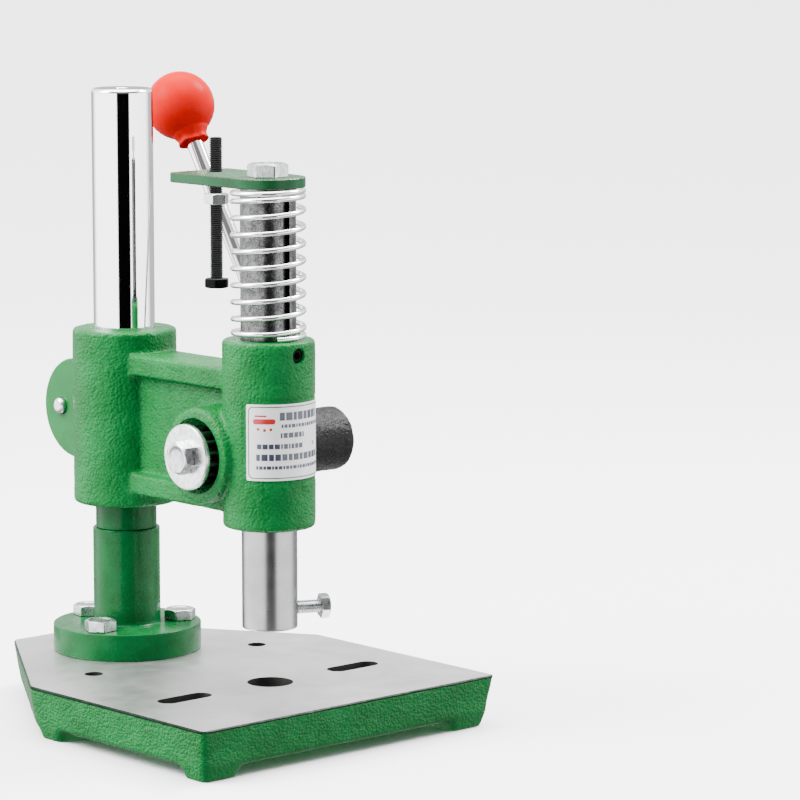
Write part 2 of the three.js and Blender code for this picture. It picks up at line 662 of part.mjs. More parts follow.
// a ball with a gathered neck: z = 0 is the ball's centre and the rod comes from below
function ballKnob(rodTop) {
  const bore = LEVER_ROD_RADIUS + FIT_GAP;
  const lip = { radius: 9.2, bottom: -25.2 };
  const profile = [[0, BALL_RADIUS]];
  const steps = 14;
  for (let i = 1; i <= steps; i += 1) {
    const angle = i / steps * THREE.MathUtils.degToRad(142);
    profile.push([BALL_RADIUS * Math.sin(angle), BALL_RADIUS * Math.cos(angle)]);
  }
  const boreTop = rodTop - LEVER_LENGTH + FIT_GAP;
  profile.push([9.6, -19.5], [8.4, -22], [lip.radius, lip.bottom + 0.8], [lip.radius - 0.6, lip.bottom]);
  profile.push([bore + 0.8, lip.bottom + 1.4], [bore, lip.bottom + 2.5], [bore, boreTop], [0, boreTop]);
  return turned(profile.reverse(), 28);
}

// ---------- ram and what it carries ----------

function ramShape() {
  const e = 1;
  return solidOf(turned([
    [0, RAM_BOTTOM], [RAM_RADIUS - e, RAM_BOTTOM], [RAM_RADIUS, RAM_BOTTOM + e], [RAM_RADIUS, RAM_TOP - e],
    [RAM_RADIUS - e, RAM_TOP], [0, RAM_TOP],
  ]));
}

// the gaps between the rack's teeth, in the ram's own frame; a rack tooth lies at the pinion's height
function rackCut() {
  const pitch = Math.PI * PINION_MODULE;
  const lineY = PINION_Y - RAM_Y - PINION_PITCH_RADIUS;
  const tipY = lineY + RACK_ADDENDUM;
  const rootY = lineY - RACK_DEDENDUM;
  const slope = Math.tan(THREE.MathUtils.degToRad(20));
  const halfGap = pitch / 4 + RACK_BACKLASH / 2;
  const shape = new THREE.Shape();
  const far = RAM_RADIUS + 2;
  const first = Math.ceil((RACK_BOTTOM - PINION_Z) / pitch);
  const last = Math.floor((RACK_TOP - PINION_Z) / pitch) - 1;
  shape.moveTo(far, RACK_BOTTOM - pitch);
  shape.lineTo(tipY, RACK_BOTTOM - pitch);
  for (let i = first; i <= last; i += 1) {
    const z = PINION_Z + (i + 0.5) * pitch;
    const tipHalf = halfGap + RACK_ADDENDUM * slope;
    const rootHalf = halfGap - RACK_DEDENDUM * slope;
    shape.lineTo(tipY, z - tipHalf);
    shape.lineTo(rootY, z - rootHalf);
    shape.lineTo(rootY, z + rootHalf);
    shape.lineTo(tipY, z + tipHalf);
  }
  shape.lineTo(tipY, RACK_TOP);
  shape.lineTo(far, RACK_TOP);
  shape.closePath();
  return solidOf(slab(shape, -RAM_RADIUS - 1, RAM_RADIUS + 1).applyMatrix4(sideways()));
}

function makeRam() {
  const keyway = solidOf(block(-KEYWAY_WIDTH / 2, KEYWAY_WIDTH / 2,
    -RAM_RADIUS - 2, -RAM_RADIUS + KEYWAY_DEPTH, KEYWAY_BOTTOM, RAM_TOP + 1));
  const shankBore = solidOf(rod(SHANK_BORE_RADIUS, RAM_BOTTOM - 1, RAM_BOTTOM + SHANK_BORE_DEPTH));
  const topThread = solidOf(hole(TOP_BOLT.radius, RAM_TOP - 26, RAM_TOP + 1));
  const sideThread = solidOf(radial(hole(M8.radius, 0, RAM_RADIUS + 1), SHANK_SCREW_Z));
  const ram = geometryOf(cut(ramShape(), rackCut(), keyway, shankBore, topThread, sideThread));
  add('ram', ram.translate(0, RAM_Y, 0), GROUND_STEEL);
}

// points a +Z solid out of the ram, along the shank screw's direction
function radial(geometry, z) {
  return geometry.rotateX(Math.PI / 2)
    .rotateZ(THREE.MathUtils.degToRad(SHANK_SCREW_ANGLE))
    .translate(0, 0, z);
}

function makeShankScrew() {
  const underHead = SHANK_SCREW_REACH - M8.head;
  const screw = geometryOf(hexBolt(M8, 20)).translate(0, 0, underHead);
  add('ram_clamp_screw', radial(screw, SHANK_SCREW_Z).translate(0, RAM_Y, 0), ZINC);
}

function makeStopPlate() {
  const shape = new THREE.Shape();
  shape.absarc(0, 0, PLATE_HALF_WIDTH, Math.PI, 2 * Math.PI);
  shape.lineTo(PLATE_HALF_WIDTH, PLATE_REACH);
  shape.lineTo(-PLATE_HALF_WIDTH, PLATE_REACH);
  shape.closePath();
  const z0 = PLATE_BOTTOM + REST_GAP;
  const z1 = PLATE_BOTTOM + PLATE_THICKNESS;
  const ramHole = solidOf(rod(TOP_BOLT.radius + FIT_GAP, z0 - 1, z1 + 1, SMALL_SEGMENTS));
  const stopHole = solidOf(rod(M8.radius + FIT_GAP, z0 - 1, z1 + 1, SMALL_SEGMENTS)
    .translate(0, STOP_BOLT_Y - RAM_Y, 0));
  const plate = geometryOf(cut(solidOf(slab(shape, z0, z1, 24)), ramHole, stopHole));
  add('stop_plate', plate.translate(0, RAM_Y, 0), GREEN_PAINT);
  const bolt = geometryOf(hexBolt(TOP_BOLT, 30)).rotateZ(THREE.MathUtils.degToRad(18));
  add('ram_top_bolt', bolt.translate(0, RAM_Y, z1 + REST_GAP), ZINC);
}

function makeStopBolt() {
  const bolt = geometryOf(hexBolt(M8, STOP_BOLT_TOP - STOP_BOLT_BOTTOM - M8.head))
    .rotateX(Math.PI).translate(0, STOP_BOLT_Y, STOP_BOLT_BOTTOM + M8.head);
  add('stop_bolt', bolt, BLACK_OXIDE);
  const nutTop = LOCK_NUT_BOTTOM + LOCK_NUT_HEIGHT;
  const nut = hexSolid(M8.flats, LOCK_NUT_BOTTOM, nutTop, true);
  const bore = solidOf(hole(M8.radius, LOCK_NUT_BOTTOM - 1, nutTop + 1));
  add('stop_lock_nut', geometryOf(cut(nut, bore)).translate(0, STOP_BOLT_Y, 0), ZINC);
}

// ---------- return spring ----------

class SpringLine extends THREE.Curve {
  getPoint(t, target = new THREE.Vector3()) {
    const turns = t * SPRING_TURNS;
    const low = RAM_CASING_TOP + REST_GAP + SPRING_WIRE_RADIUS;
    const high = PLATE_BOTTOM - REST_GAP - SPRING_WIRE_RADIUS;
    const closed = SPRING_CLOSED_TURNS * (2 * SPRING_WIRE_RADIUS + 0.15);
    const open = SPRING_TURNS - 2 * SPRING_CLOSED_TURNS;
    let z;
    if (turns < SPRING_CLOSED_TURNS) {
      z = low + closed * turns / SPRING_CLOSED_TURNS;
    } else if (turns > SPRING_TURNS - SPRING_CLOSED_TURNS) {
      z = high - closed * (SPRING_TURNS - turns) / SPRING_CLOSED_TURNS;
    } else {
      z = low + closed + (high - low - 2 * closed) * (turns - SPRING_CLOSED_TURNS) / open;
    }
    const angle = turns * 2 * Math.PI + THREE.MathUtils.degToRad(SPRING_START_ANGLE);
    return target.set(SPRING_MEAN_RADIUS * Math.cos(angle), RAM_Y + SPRING_MEAN_RADIUS * Math.sin(angle), z);
  }
}

function makeSpring() {
  const section = new THREE.Shape();
  section.absarc(0, 0, SPRING_WIRE_RADIUS, 0, 2 * Math.PI);
  const wire = new THREE.ExtrudeGeometry(section, {
    extrudePath: new SpringLine(),
    steps: Math.round(SPRING_TURNS * 14),
    curveSegments: 4,
    bevelEnabled: false,
  });
  add('return_spring', wire, ZINC);
}

makeBase();
makeFlange();
makeColumn();
makeArm();
makeClampBolt();
makeLabel();
makeGuideScrew();
makePinion();
makePinionWasher();
makeLever();
makeRam();
makeShankScrew();
makeStopPlate();
makeStopBolt();
makeSpring();

export default press;
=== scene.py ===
"""Looks of the snap setting press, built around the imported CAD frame.

Pieces are worked out in millimetres in the CAD's frame and turned into metres as their meshes are made.
The operator stands at -Y, the lever is on +X, and +Z is up.
"""
import math
import bmesh
import bpy
import numpy as np
from mathutils import Matrix, Vector, noise


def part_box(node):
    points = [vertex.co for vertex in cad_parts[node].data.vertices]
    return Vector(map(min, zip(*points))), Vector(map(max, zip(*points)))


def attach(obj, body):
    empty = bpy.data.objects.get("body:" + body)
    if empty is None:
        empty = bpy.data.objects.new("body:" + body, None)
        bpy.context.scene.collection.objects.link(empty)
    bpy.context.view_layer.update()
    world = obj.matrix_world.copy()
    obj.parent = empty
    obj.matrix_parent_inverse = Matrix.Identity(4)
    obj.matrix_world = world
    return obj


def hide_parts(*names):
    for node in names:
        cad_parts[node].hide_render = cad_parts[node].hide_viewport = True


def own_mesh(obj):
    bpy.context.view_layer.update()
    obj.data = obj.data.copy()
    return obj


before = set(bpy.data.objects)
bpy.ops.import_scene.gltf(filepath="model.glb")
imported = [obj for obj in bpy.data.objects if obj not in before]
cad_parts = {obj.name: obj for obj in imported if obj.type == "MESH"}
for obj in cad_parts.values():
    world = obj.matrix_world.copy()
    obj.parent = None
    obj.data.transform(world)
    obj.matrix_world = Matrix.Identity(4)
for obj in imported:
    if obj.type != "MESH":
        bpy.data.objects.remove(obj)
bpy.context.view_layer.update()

# ---------------------------------------------------------------- places

MM = 0.001
TAU = 2 * math.pi
SUPPORT_STEP = 4.0
SUPPORT_EDGE = 0.8


def low(node):
    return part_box(node)[0] / MM


def high(node):
    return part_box(node)[1] / MM


def middle(node):
    return (low(node) + high(node)) / 2


BASE_TOP = high("base_plate").z
RAM_Y = middle("ram").y
RAM_BOTTOM = low("ram").z
RAM_TOP = high("ram").z
RAM_RADIUS = high("ram").x
COLUMN_Y = middle("column").y
COLUMN_TOP = high("column").z
COLUMN_RADIUS = high("column").x
SOCKET_TOP = high("column_flange").z
FLANGE_RADIUS = high("column_flange").x
PINION_Y = middle("pinion_washer").y
PINION_Z = middle("pinion_washer").z
PLATE_BOTTOM = low("stop_plate").z
PLATE_TOP = high("stop_plate").z
STOP_Y = middle("stop_lock_nut").y
HUB_LEFT = low("lever_hub").x
HUB_RIGHT = high("lever_hub").x
LEVER_X = middle("lever_rod").x
CASING_TOP = high("arm_casting").z
EAR_Z = middle("clamp_washer").z
CLAMP_Y = middle("clamp_washer").y
GUIDE_Z = middle("ram_guide_screw").z
DIE_SCREW_Z = middle("ram_clamp_screw").z

COLUMN_CASING = {"radius": 30.7, "bottom": 120.0, "top": 224.0}
RAM_CASING = {"radius": 26.4, "bottom": 121.8, "top": CASING_TOP}
LEVER_LEAN = 31.8  # degrees back from upright
LEVER_LENGTH = 224.3
ROD_RADIUS = 5.0
HUB_RADIUS = 18.7
HUB_PIN = {"radius": 2.5, "low": -18.0, "high": 18.6}
BALL_RADIUS = 20.7

M8 = {"radius": 4.0, "flats": 13.0, "head": 5.3, "pitch": 1.25}
M10 = {"radius": 5.0, "flats": 17.0, "head": 6.4}
TOP_BOLT = {"radius": 6.0, "flats": 20.8, "head": 7.6}
WASHER_BORE = 5.3
SOCKET_FLATS = 4.0


# ---------------------------------------------------------------- mesh tools

def mesh_from(name, points, faces):
    """A mesh whose points are given in millimetres, with its faces turned outwards."""
    mesh = bpy.data.meshes.new(name)
    mesh.from_pydata([tuple(p) for p in np.asarray(points, float) * MM], [], faces)
    bm = bmesh.new()
    bm.from_mesh(mesh)
    bmesh.ops.remove_doubles(bm, verts=bm.verts, dist=1e-7)
    bmesh.ops.recalc_face_normals(bm, faces=bm.faces)
    bm.to_mesh(mesh)
    bm.free()
    return mesh


def link(name, mesh):
    piece = bpy.data.objects.new(name, mesh)
    bpy.context.scene.collection.objects.link(piece)
    return piece


def grid_faces(rows, columns, loop_rows=False):
    """Quads over rows of points that each run round a closed ring."""
    faces = []
    last = rows if loop_rows else rows - 1
    for i in range(last):
        a, b = i * columns, (i + 1) % rows * columns
        for j in range(columns):
            k = (j + 1) % columns
            faces.append((a + j, a + k, b + k, b + j))
    return faces


def ring_solid(name, rings, loop=False):
    """A solid whose skin passes through closed rings of points. Its two ends are closed unless it loops."""
    rings = np.asarray(rings, float)
    rows, columns = rings.shape[:2]
    points = rings.reshape(-1, 3)
    faces = grid_faces(rows, columns, loop)
    if not loop:
        for row, turn in ((0, -1), (rows - 1, 1)):
            centre = rings[row].mean(axis=0)
            points = np.vstack([points, centre])
            hub = len(points) - 1
            for j in range(columns):
                k = (j + 1) % columns
                edge = (row * columns + j, row * columns + k)
                faces.append((*edge[::turn], hub))
    return link(name, mesh_from(name, points, faces))


def angles_of(segments):
    return np.arange(segments) * TAU / segments


def ring_at(radius, height, segments):
    """A ring about Z. Radius and height are numbers or one value for each point."""
    a = angles_of(segments)
    return np.stack([radius * np.cos(a), radius * np.sin(a), height + 0 * a], axis=1)


def supported(profile):
    """Adds a point near both ends of every long step, so that smooth shading bends only at the corners."""
    out = []
    for (r0, z0), (r1, z1) in zip(profile, profile[1:]):
        out.append((r0, z0))
        length = math.hypot(r1 - r0, z1 - z0)
        if length > SUPPORT_STEP:
            for share in (SUPPORT_EDGE / length, 1 - SUPPORT_EDGE / length):
                out.append((r0 + (r1 - r0) * share, z0 + (z1 - z0) * share))
    return [*out, profile[-1]]


def turned(name, profile, segments=96, loop=False):
    """A lathe solid about Z from (radius, height) points."""
    return ring_solid(name, [ring_at(r, z, segments) for r, z in supported(profile)], loop)


def corner_arc(before, here, after, reach, steps):
    """Points of a curve that cuts the corner. It starts and ends at the given reach from it."""
    here = np.array(here, float)
    back = np.array(before, float) - here
    ahead = np.array(after, float) - here
    back /= np.linalg.norm(back)
    ahead /= np.linalg.norm(ahead)
    return [here + back * reach * (1 - t) ** 2 + ahead * reach * t ** 2 for t in np.linspace(0, 1, steps)]


def rounded(corners, steps=5):
    """A profile whose corners (radius, height, rounding) are replaced by arcs."""
    out = []
    for i, (r, z, rounding) in enumerate(corners):
        if rounding <= 0 or i in (0, len(corners) - 1):
            out.append((r, z))
        else:
            out += corner_arc(corners[i - 1][:2], (r, z), corners[i + 1][:2], rounding, steps)
    return out


def divided(profile, longest):
    """A profile whose steps are divided evenly to about the given length."""
    out = []
    for (r0, z0), (r1, z1) in zip(profile, profile[1:]):
        steps = max(1, int(math.hypot(r1 - r0, z1 - z0) / longest))
        out += [(r0 + (r1 - r0) * k / steps, z0 + (z1 - z0) * k / steps) for k in range(steps)]
    return [*out, profile[-1]]


def rod_profile(radius, z0, z1, edge):
    return rounded([(0.01, z0, 0), (radius, z0, edge), (radius, z1, edge), (0.01, z1, 0)])


def place(piece, matrix):
    """Moves the piece's own points, so that its object stays at the origin."""
    shifted = matrix.copy()
    shifted.translation *= MM
    piece.data.transform(shifted)
    return piece


def shift(x, y, z):
    return Matrix.Translation((x, y, z))


def turn(degrees, axis):
    return Matrix.Rotation(math.radians(degrees), 4, axis)


def baked(piece):
    """Applies the piece's modifiers."""
    bpy.context.view_layer.update()
    graph = bpy.context.evaluated_depsgraph_get()
    mesh = bpy.data.meshes.new_from_object(piece.evaluated_get(graph))
    old = piece.data
    piece.modifiers.clear()
    piece.data = mesh
    bpy.data.meshes.remove(old)
    return piece


def boolean(piece, tool, operation):
    step = piece.modifiers.new("boolean", "BOOLEAN")
    step.operation = operation
    step.object = tool
    step.solver = "MANIFOLD"
    baked(piece)
    bpy.data.objects.remove(tool)
    return piece


def cut(piece, *tools):
    for tool in tools:
        boolean(piece, tool, "DIFFERENCE")
    return piece


def fused(piece, *others):
    for other in others:
        boolean(piece, other, "UNION")
    return piece


def block(x0, x1, y0, y1, z0, z1):
    corners = [(x, y, z) for z in (z0, z1) for x, y in ((x0, y0), (x1, y0), (x1, y1), (x0, y1))]
    faces = [(0, 1, 2, 3), (4, 5, 6, 7), (0, 1, 5, 4), (1, 2, 6, 5), (2, 3, 7, 6), (3, 0, 4, 7)]
    return link("block", mesh_from("block", corners, faces))


def drill(radius, z0, z1, x=0.0, y=0.0, segments=64):
    return place(turned("drill", [(radius, z0), (radius, z1)], segments), shift(x, y, 0))


def cross_drill(radius, x0, x1, y, z):
    """A cutting cylinder along X."""
    tool = turned("drill", [(radius, x0), (radius, x1)], 64)
    return place(tool, shift(0, y, z) @ turn(90, "Y"))


def at_height(outline, z):
    """The outline's (x, y) points as a ring at one height."""
    outline = np.asarray(outline, float)
    return np.column_stack([outline, np.full(len(outline), z)])


def prism(outline, z0, z1):
    """A straight solid on an outline of (x, y) points."""
    return ring_solid("prism", [at_height(outline, z0), at_height(outline, z1)])


def round_corners(corners, radius, steps=6):
    """An outline whose corners are arcs of about the given radius."""
    out = []
    for i, here in enumerate(corners):
        out += corner_arc(corners[i - 1], here, corners[(i + 1) % len(corners)], radius, steps)
    return np.array(out)


def rectangle(x0, y0, x1, y1, radius, steps=6):
    """The outline of a rectangle with rounded corners, from its lower left corner."""
    return round_corners([(x0, y0), (x1, y0), (x1, y1), (x0, y1)], radius, steps)


def arc(x, y, radius, start, end, steps):
    a = np.radians(np.linspace(start, end, steps))
    return list(zip(x + radius * np.cos(a), y + radius * np.sin(a)))


def vectors_of(mesh, kind):
    """The mesh's points ("co") or their normals ("normal"), one row for each."""
    values = np.empty(len(mesh.vertices) * 3, np.float32)
    mesh.vertices.foreach_get(kind, values)
    return values.reshape(-1, 3).astype(float)


def set_points(mesh, co):
    mesh.vertices.foreach_set("co", co.astype(np.float32).ravel())
    mesh.update()


def relaxed(piece, passes):
    """Smooths the mesh, which rounds its edges and fills its inner corners as a casting's are."""
    mesh = piece.data
    co = vectors_of(mesh, "co")
    edges = np.empty(len(mesh.edges) * 2, np.int32)
    mesh.edges.foreach_get("vertices", edges)
    a, b = edges.reshape(-1, 2).T
    count = np.bincount(np.concatenate([a, b]), minlength=len(co))[:, None]
    for _ in range(passes):
        total = np.stack([
            np.bincount(a, co[b, k], len(co)) + np.bincount(b, co[a, k], len(co)) for k in range(3)
        ], axis=1)
        co += (total / count - co) / 2
    set_points(mesh, co)
    return piece


def roughened(piece, amount, size):
    """Pushes the points along their normals by noise: amount and size are in millimetres."""
    mesh = piece.data
    co = vectors_of(mesh, "co")
    wide, fine = size * MM, size * MM * 0.45
    push = [noise.noise(Vector(p) / wide) + 0.5 * noise.noise(Vector(p) / fine) for p in co]
    set_points(mesh, co + vectors_of(mesh, "normal") * np.array(push)[:, None] * amount * MM)
    return piece


def cast(name, parts, voxel, passes):
    """One casting from overlapping closed parts, with rounded edges and inner corners."""
    whole = parts[0]
    whole.name = name
    bm = bmesh.new()
    for part in parts:
        bm.from_mesh(part.data)
    mesh = bpy.data.meshes.new(name)
    bm.to_mesh(mesh)
    bm.free()
    for part in parts[1:]:
        bpy.data.objects.remove(part)
    whole.data = mesh
    step = whole.modifiers.new("remesh", "REMESH")
    step.mode = "VOXEL"
    step.voxel_size = voxel * MM
    return relaxed(baked(whole), passes)


def paint_faces(piece, chooser):
    """Gives each face the material index that chooser says for its centre in millimetres and its normal."""
    for face in piece.data.polygons:
        face.material_index = chooser(face.center / MM, face.normal)


def finished(piece, name, body, materials, nodes=(), crease=32):
    """Smooth shading with creases, materials, and the piece's place in the frame."""
    piece.name = name
    mesh = piece.data
    chosen = np.zeros(len(mesh.polygons), np.int32)
    mesh.polygons.foreach_get("material_index", chosen)
    mesh.materials.clear()
    for material in materials:
        mesh.materials.append(material)
    mesh.polygons.foreach_set("material_index", chosen)
    mesh.shade_smooth()
    mesh.set_sharp_from_angle(angle=math.radians(crease))
    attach(piece, body)
    if nodes:
        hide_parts(*nodes)
    return piece


def plated(piece, name, body, material, node):
    """A zinc plated hexagon bolt or nut, whose flats stay crisp."""
    return finished(piece, name, body, [material], [node], crease=24)


# ---------------------------------------------------------------- fasteners

HEX_SHARPNESS = 46
HEAD_CHAMFER = math.tan(math.radians(30))
# The dish of a bolt's head: radius as a share of the flats, and share of the depth.
HEAD_DISH = ((0.4, 0.15), (0.36, 0.6), (0.31, 0.9))


def hex_radius(segments, flats):
    """The radius of a hexagon with slightly rounded corners, for each of the segments."""
    a = angles_of(segments)
    total = sum(np.maximum(0, np.cos(a - k * TAU / 6 - TAU / 12)) ** HEX_SHARPNESS for k in range(6))
    return flats / 2 / total ** (1 / HEX_SHARPNESS)


def hex_head(flats, height, dish=0.0, bore=0.0):
    """A chamfered hexagon from z = 0 up: a bolt's head with a dished top, or a nut with a bore."""
    segments = 144
    outline = hex_radius(segments, flats)
    flat_top = flats / 2 * 0.95
    drop = np.maximum(0, outline - flat_top) * HEAD_CHAMFER
    top = height - drop
    if bore:
        bottom = drop
        levels = [(flat_top, bottom.min())]
    else:
        bottom = 0 * outline + 0.3
        levels = [(outline - 0.3, 0)]
    levels += [(outline, bottom), (outline, bottom + 0.5), (outline, top - 0.5), (outline, top)]
    levels += [(flat_top, height), (flat_top - 0.5, height)]
    if bore:
        levels += [(bore + 0.8, height), (bore, height - 0.7), (bore, 0.7), (bore + 0.8, 0)]
    else:
        levels += [(flats * radius, height - dish * share) for radius, share in HEAD_DISH]
        levels += [(flats * 0.2, height - dish), (0.05, height - dish)]
    return ring_solid("hex", [ring_at(radius, z, segments) for radius, z in levels], loop=bool(bore))


def washer(radius, thickness, edges, segments):
    """A flat washer for an M10 bolt. The edges are the rounding of its lower rim, upper rim and bore."""
    lower, upper, mouth = edges
    ring = rounded([
        (WASHER_BORE, 0, 0), (radius, 0, lower), (radius, thickness, upper), (WASHER_BORE, thickness, mouth),
        (WASHER_BORE, thickness / 2, 0),
    ])
    return turned("washer", ring, segments, loop=True)


def threaded_rod(size, length):
    """A threaded shank from z = -length up to 0, with a chamfered tip at its lower end."""
    segments, rows_per_pitch = 40, 10
    pitch = size["pitch"]
    depth = 0.61 * pitch
    core = size["radius"] - depth - 0.2
    count = int(length / pitch * rows_per_pitch) + 1
    a = angles_of(segments)
    rings = [ring_at(core, -length, segments)]
    for z in np.linspace(-length, 0, count):
        phase = (z / pitch - a / TAU) % 1.0
        tooth = np.clip((0.5 - np.abs(phase - 0.5)) * 2.6 - 0.3, 0, 1)
        radius = size["radius"] - depth * (1 - tooth)
        tip = core + (z + length) * 1.1
        rings.append(ring_at(np.minimum(radius, np.maximum(tip, 0.2)), z, segments))
    return ring_solid("thread", rings)


def hex_bolt(size, length, dish=0.0, threaded=False):
    """A hexagon bolt pointing down -Z, with the underside of its head at z = 0."""
    head = hex_head(size["flats"], size["head"], dish)
    if threaded:
        shank = place(threaded_rod(size, length), shift(0, 0, 0.2))
    else:
        shank = turned("shank", rod_profile(size["radius"], -length, 0.2, 0.8), 64)
    return fused(head, shank)


def socket_screw(z0, z1, depth):
    """A black M8 set screw from z0 up to z1, with a hexagon socket of this depth in its upper end."""
    screw = turned("screw", rod_profile(M8["radius"], z0, z1, 0.5), 64)
    outline = ring_at(hex_radius(36, SOCKET_FLATS), 0, 36)[:, :2]
    return cut(screw, prism(outline, z1 - depth, z1 + 1))


# ---------------------------------------------------------------- materials

def fill_ramp(ramp, stops):
    """Sets a colour ramp's stops from (position, grey or colour) pairs."""
    while len(ramp.elements) < len(stops):
        ramp.elements.new(0.5)
    for element, (position, color) in zip(ramp.elements, stops):
        element.position = position
        element.color = (color, color, color, 1) if isinstance(color, (int, float)) else (*color, 1)


class Look:
    """A small helper that builds one procedural material."""

    def __init__(self, name, color, roughness, metallic=0.0):
        self.material = bpy.data.materials.new(name)
        self.material.use_nodes = True
        self.nodes = self.material.node_tree.nodes
        self.links = self.material.node_tree.links
        self.shader = self.nodes["Principled BSDF"]
        self.place = self.nodes.new("ShaderNodeTexCoord").outputs["Object"]
        self.set("Base Color", (*color, 1))
        self.set("Roughness", roughness)
        self.set("Metallic", metallic)
        self.material.diffuse_color = (*color, 1)

    def set(self, socket, value):
        self.shader.inputs[socket].default_value = value
        return self

    def stretched(self, scale):
        node = self.nodes.new("ShaderNodeMapping")
        node.inputs["Scale"].default_value = scale
        self.links.new(self.place, node.inputs["Vector"])
        return node.outputs["Vector"]

    def noise(self, size_mm, detail=3.0, rough=0.5, vector=None):
        node = self.nodes.new("ShaderNodeTexNoise")
        node.inputs["Scale"].default_value = 1 / (size_mm * MM)
        node.inputs["Detail"].default_value = detail
        node.inputs["Roughness"].default_value = rough
        self.links.new(vector or self.place, node.inputs["Vector"])
        return node.outputs["Fac"]

    def cells(self, size_mm):
        node = self.nodes.new("ShaderNodeTexVoronoi")
        node.inputs["Scale"].default_value = 1 / (size_mm * MM)
        self.links.new(self.place, node.inputs["Vector"])
        return node.outputs["Distance"]

    def ramp(self, value, stops):
        node = self.nodes.new("ShaderNodeValToRGB")
        fill_ramp(node.color_ramp, stops)
        self.links.new(value, node.inputs["Fac"])
        return node.outputs["Color"]

    def feed(self, socket, value):
        """Links the value to the socket, or sets it there when it's a number or a colour."""
        if isinstance(value, bpy.types.NodeSocket):
            self.links.new(value, socket)
        else:
            socket.default_value = value if isinstance(value, (int, float)) else (*value, 1)

    def mix(self, factor, a, b):
        node = self.nodes.new("ShaderNodeMix")
        node.data_type = "RGBA"
        self.feed(node.inputs["Factor"], factor)
        for name, value in (("A", a), ("B", b)):
            self.feed(next(s for s in node.inputs if s.name == name and s.type == "RGBA"), value)
        return next(s for s in node.outputs if s.type == "RGBA")

    def patches(self, value, a, b, start=0.35, end=0.65):
        """Two tones that follow a noise: all a below the start and all b above the end."""
        return self.mix(self.ramp(value, [(start, 0.0), (end, 1.0)]), a, b)

    def math(self, operation, a, b=0.0):
        node = self.nodes.new("ShaderNodeMath")
        node.operation = operation
        for socket, value in zip(node.inputs, (a, b)):
            self.feed(socket, value)
        return node.outputs["Value"]

    def axis(self, letter):
        node = self.nodes.new("ShaderNodeSeparateXYZ")
        self.links.new(self.place, node.inputs["Vector"])
        return node.outputs[letter]

    def attribute(self, name):
        node = self.nodes.new("ShaderNodeAttribute")
        node.attribute_name = name
        return node.outputs["Fac"]

    def color(self, socket):
        self.links.new(socket, self.shader.inputs["Base Color"])
        return self

    def roughness(self, value, lowest, highest):
        self.links.new(self.ramp(value, [(0.3, lowest), (0.7, highest)]), self.shader.inputs["Roughness"])
        return self

    def bump(self, height, distance_mm, strength=1.0, mask=None):
        node = self.nodes.new("ShaderNodeBump")
        node.inputs["Distance"].default_value = distance_mm * MM
        node.inputs["Strength"].default_value = strength
        self.links.new(height, node.inputs["Height"])
        if mask is not None:
            self.links.new(mask, node.inputs["Strength"])
        previous = self.shader.inputs["Normal"]
        if previous.is_linked:
            self.links.new(previous.links[0].from_socket, node.inputs["Normal"])
        self.links.new(node.outputs["Normal"], previous)
        return self


GREEN = (0.002, 0.145, 0.03)
GREEN_DEEP = (0.0011, 0.108, 0.019)
SMOOTH_GREEN = (0.0014, 0.088, 0.021)
SMOOTH_GREEN_DEEP = (0.0008, 0.066, 0.013)
DULL_GREEN = (0.009, 0.076, 0.026)
DULL_GREEN_DEEP = (0.006, 0.054, 0.018)


def cast_paint():
    """Gloss enamel over a sandy casting. It is smoother on the clamp ears behind the column casing."""
    look = Look("cast_green_enamel", GREEN, 0.3)
    look.set("Specular IOR Level", 0.12)
    look.color(look.patches(look.noise(22, 2), GREEN, GREEN_DEEP))
    look.roughness(look.noise(3), 0.16, 0.3)
    rear = look.math("GREATER_THAN", look.axis("Y"), (COLUMN_Y + COLUMN_CASING["radius"] + 0.6) * MM)
    strength = look.math("SUBTRACT", 1.0, look.math("MULTIPLY", rear, 0.9))
    grains = look.math("SUBTRACT", 1.0, look.cells(1.7))
    sand = look.math("ADD", grains, look.math("MULTIPLY", look.noise(1.0, 2, 0.6), 0.7))
    look.bump(sand, 0.42, mask=strength)
    look.bump(look.noise(5, 2), 0.8, mask=look.math("MULTIPLY", strength, 0.6))
    return look.material


def smooth_paint():
    look = Look("smooth_green_enamel", SMOOTH_GREEN, 0.25)
    look.set("Specular IOR Level", 0.1)
    look.color(look.patches(look.noise(14, 2), SMOOTH_GREEN, SMOOTH_GREEN_DEEP))
    look.roughness(look.noise(4), 0.18, 0.3)
    look.bump(look.noise(1.6, 2), 0.14, 0.8)
    return look.material


def worn_paint():
    """The stop plate's enamel, chipped to bare steel along its edges."""
    look = Look("worn_green_enamel", DULL_GREEN, 0.34)
    look.set("Specular IOR Level", 0.1)
    chips = look.math("ADD", look.attribute("wear"), look.math("MULTIPLY", look.noise(1.6, 4, 0.7), 0.9))
    bare = look.ramp(chips, [(0.8, 0.0), (0.92, 1.0)])
    paint = look.patches(look.noise(14, 2), DULL_GREEN, DULL_GREEN_DEEP)
    look.color(look.mix(bare, paint, (0.1, 0.08, 0.065)))
    look.links.new(bare, look.shader.inputs["Metallic"])
    look.roughness(look.noise(3), 0.2, 0.36)
    look.bump(look.noise(1.8, 3), 0.15, 0.6)
    look.bump(look.math("SUBTRACT", 1.0, bare), 0.08, 0.8)
    return look.material


def chrome():
    look = Look("polished_chrome", (0.86, 0.86, 0.87), 0.05, 1.0)
    look.roughness(look.noise(9, 4, 0.6), 0.03, 0.07)
    look.bump(look.noise(0.8, 2, 0.5, look.stretched((1, 1, 0.05))), 0.004, 0.4)
    return look.material


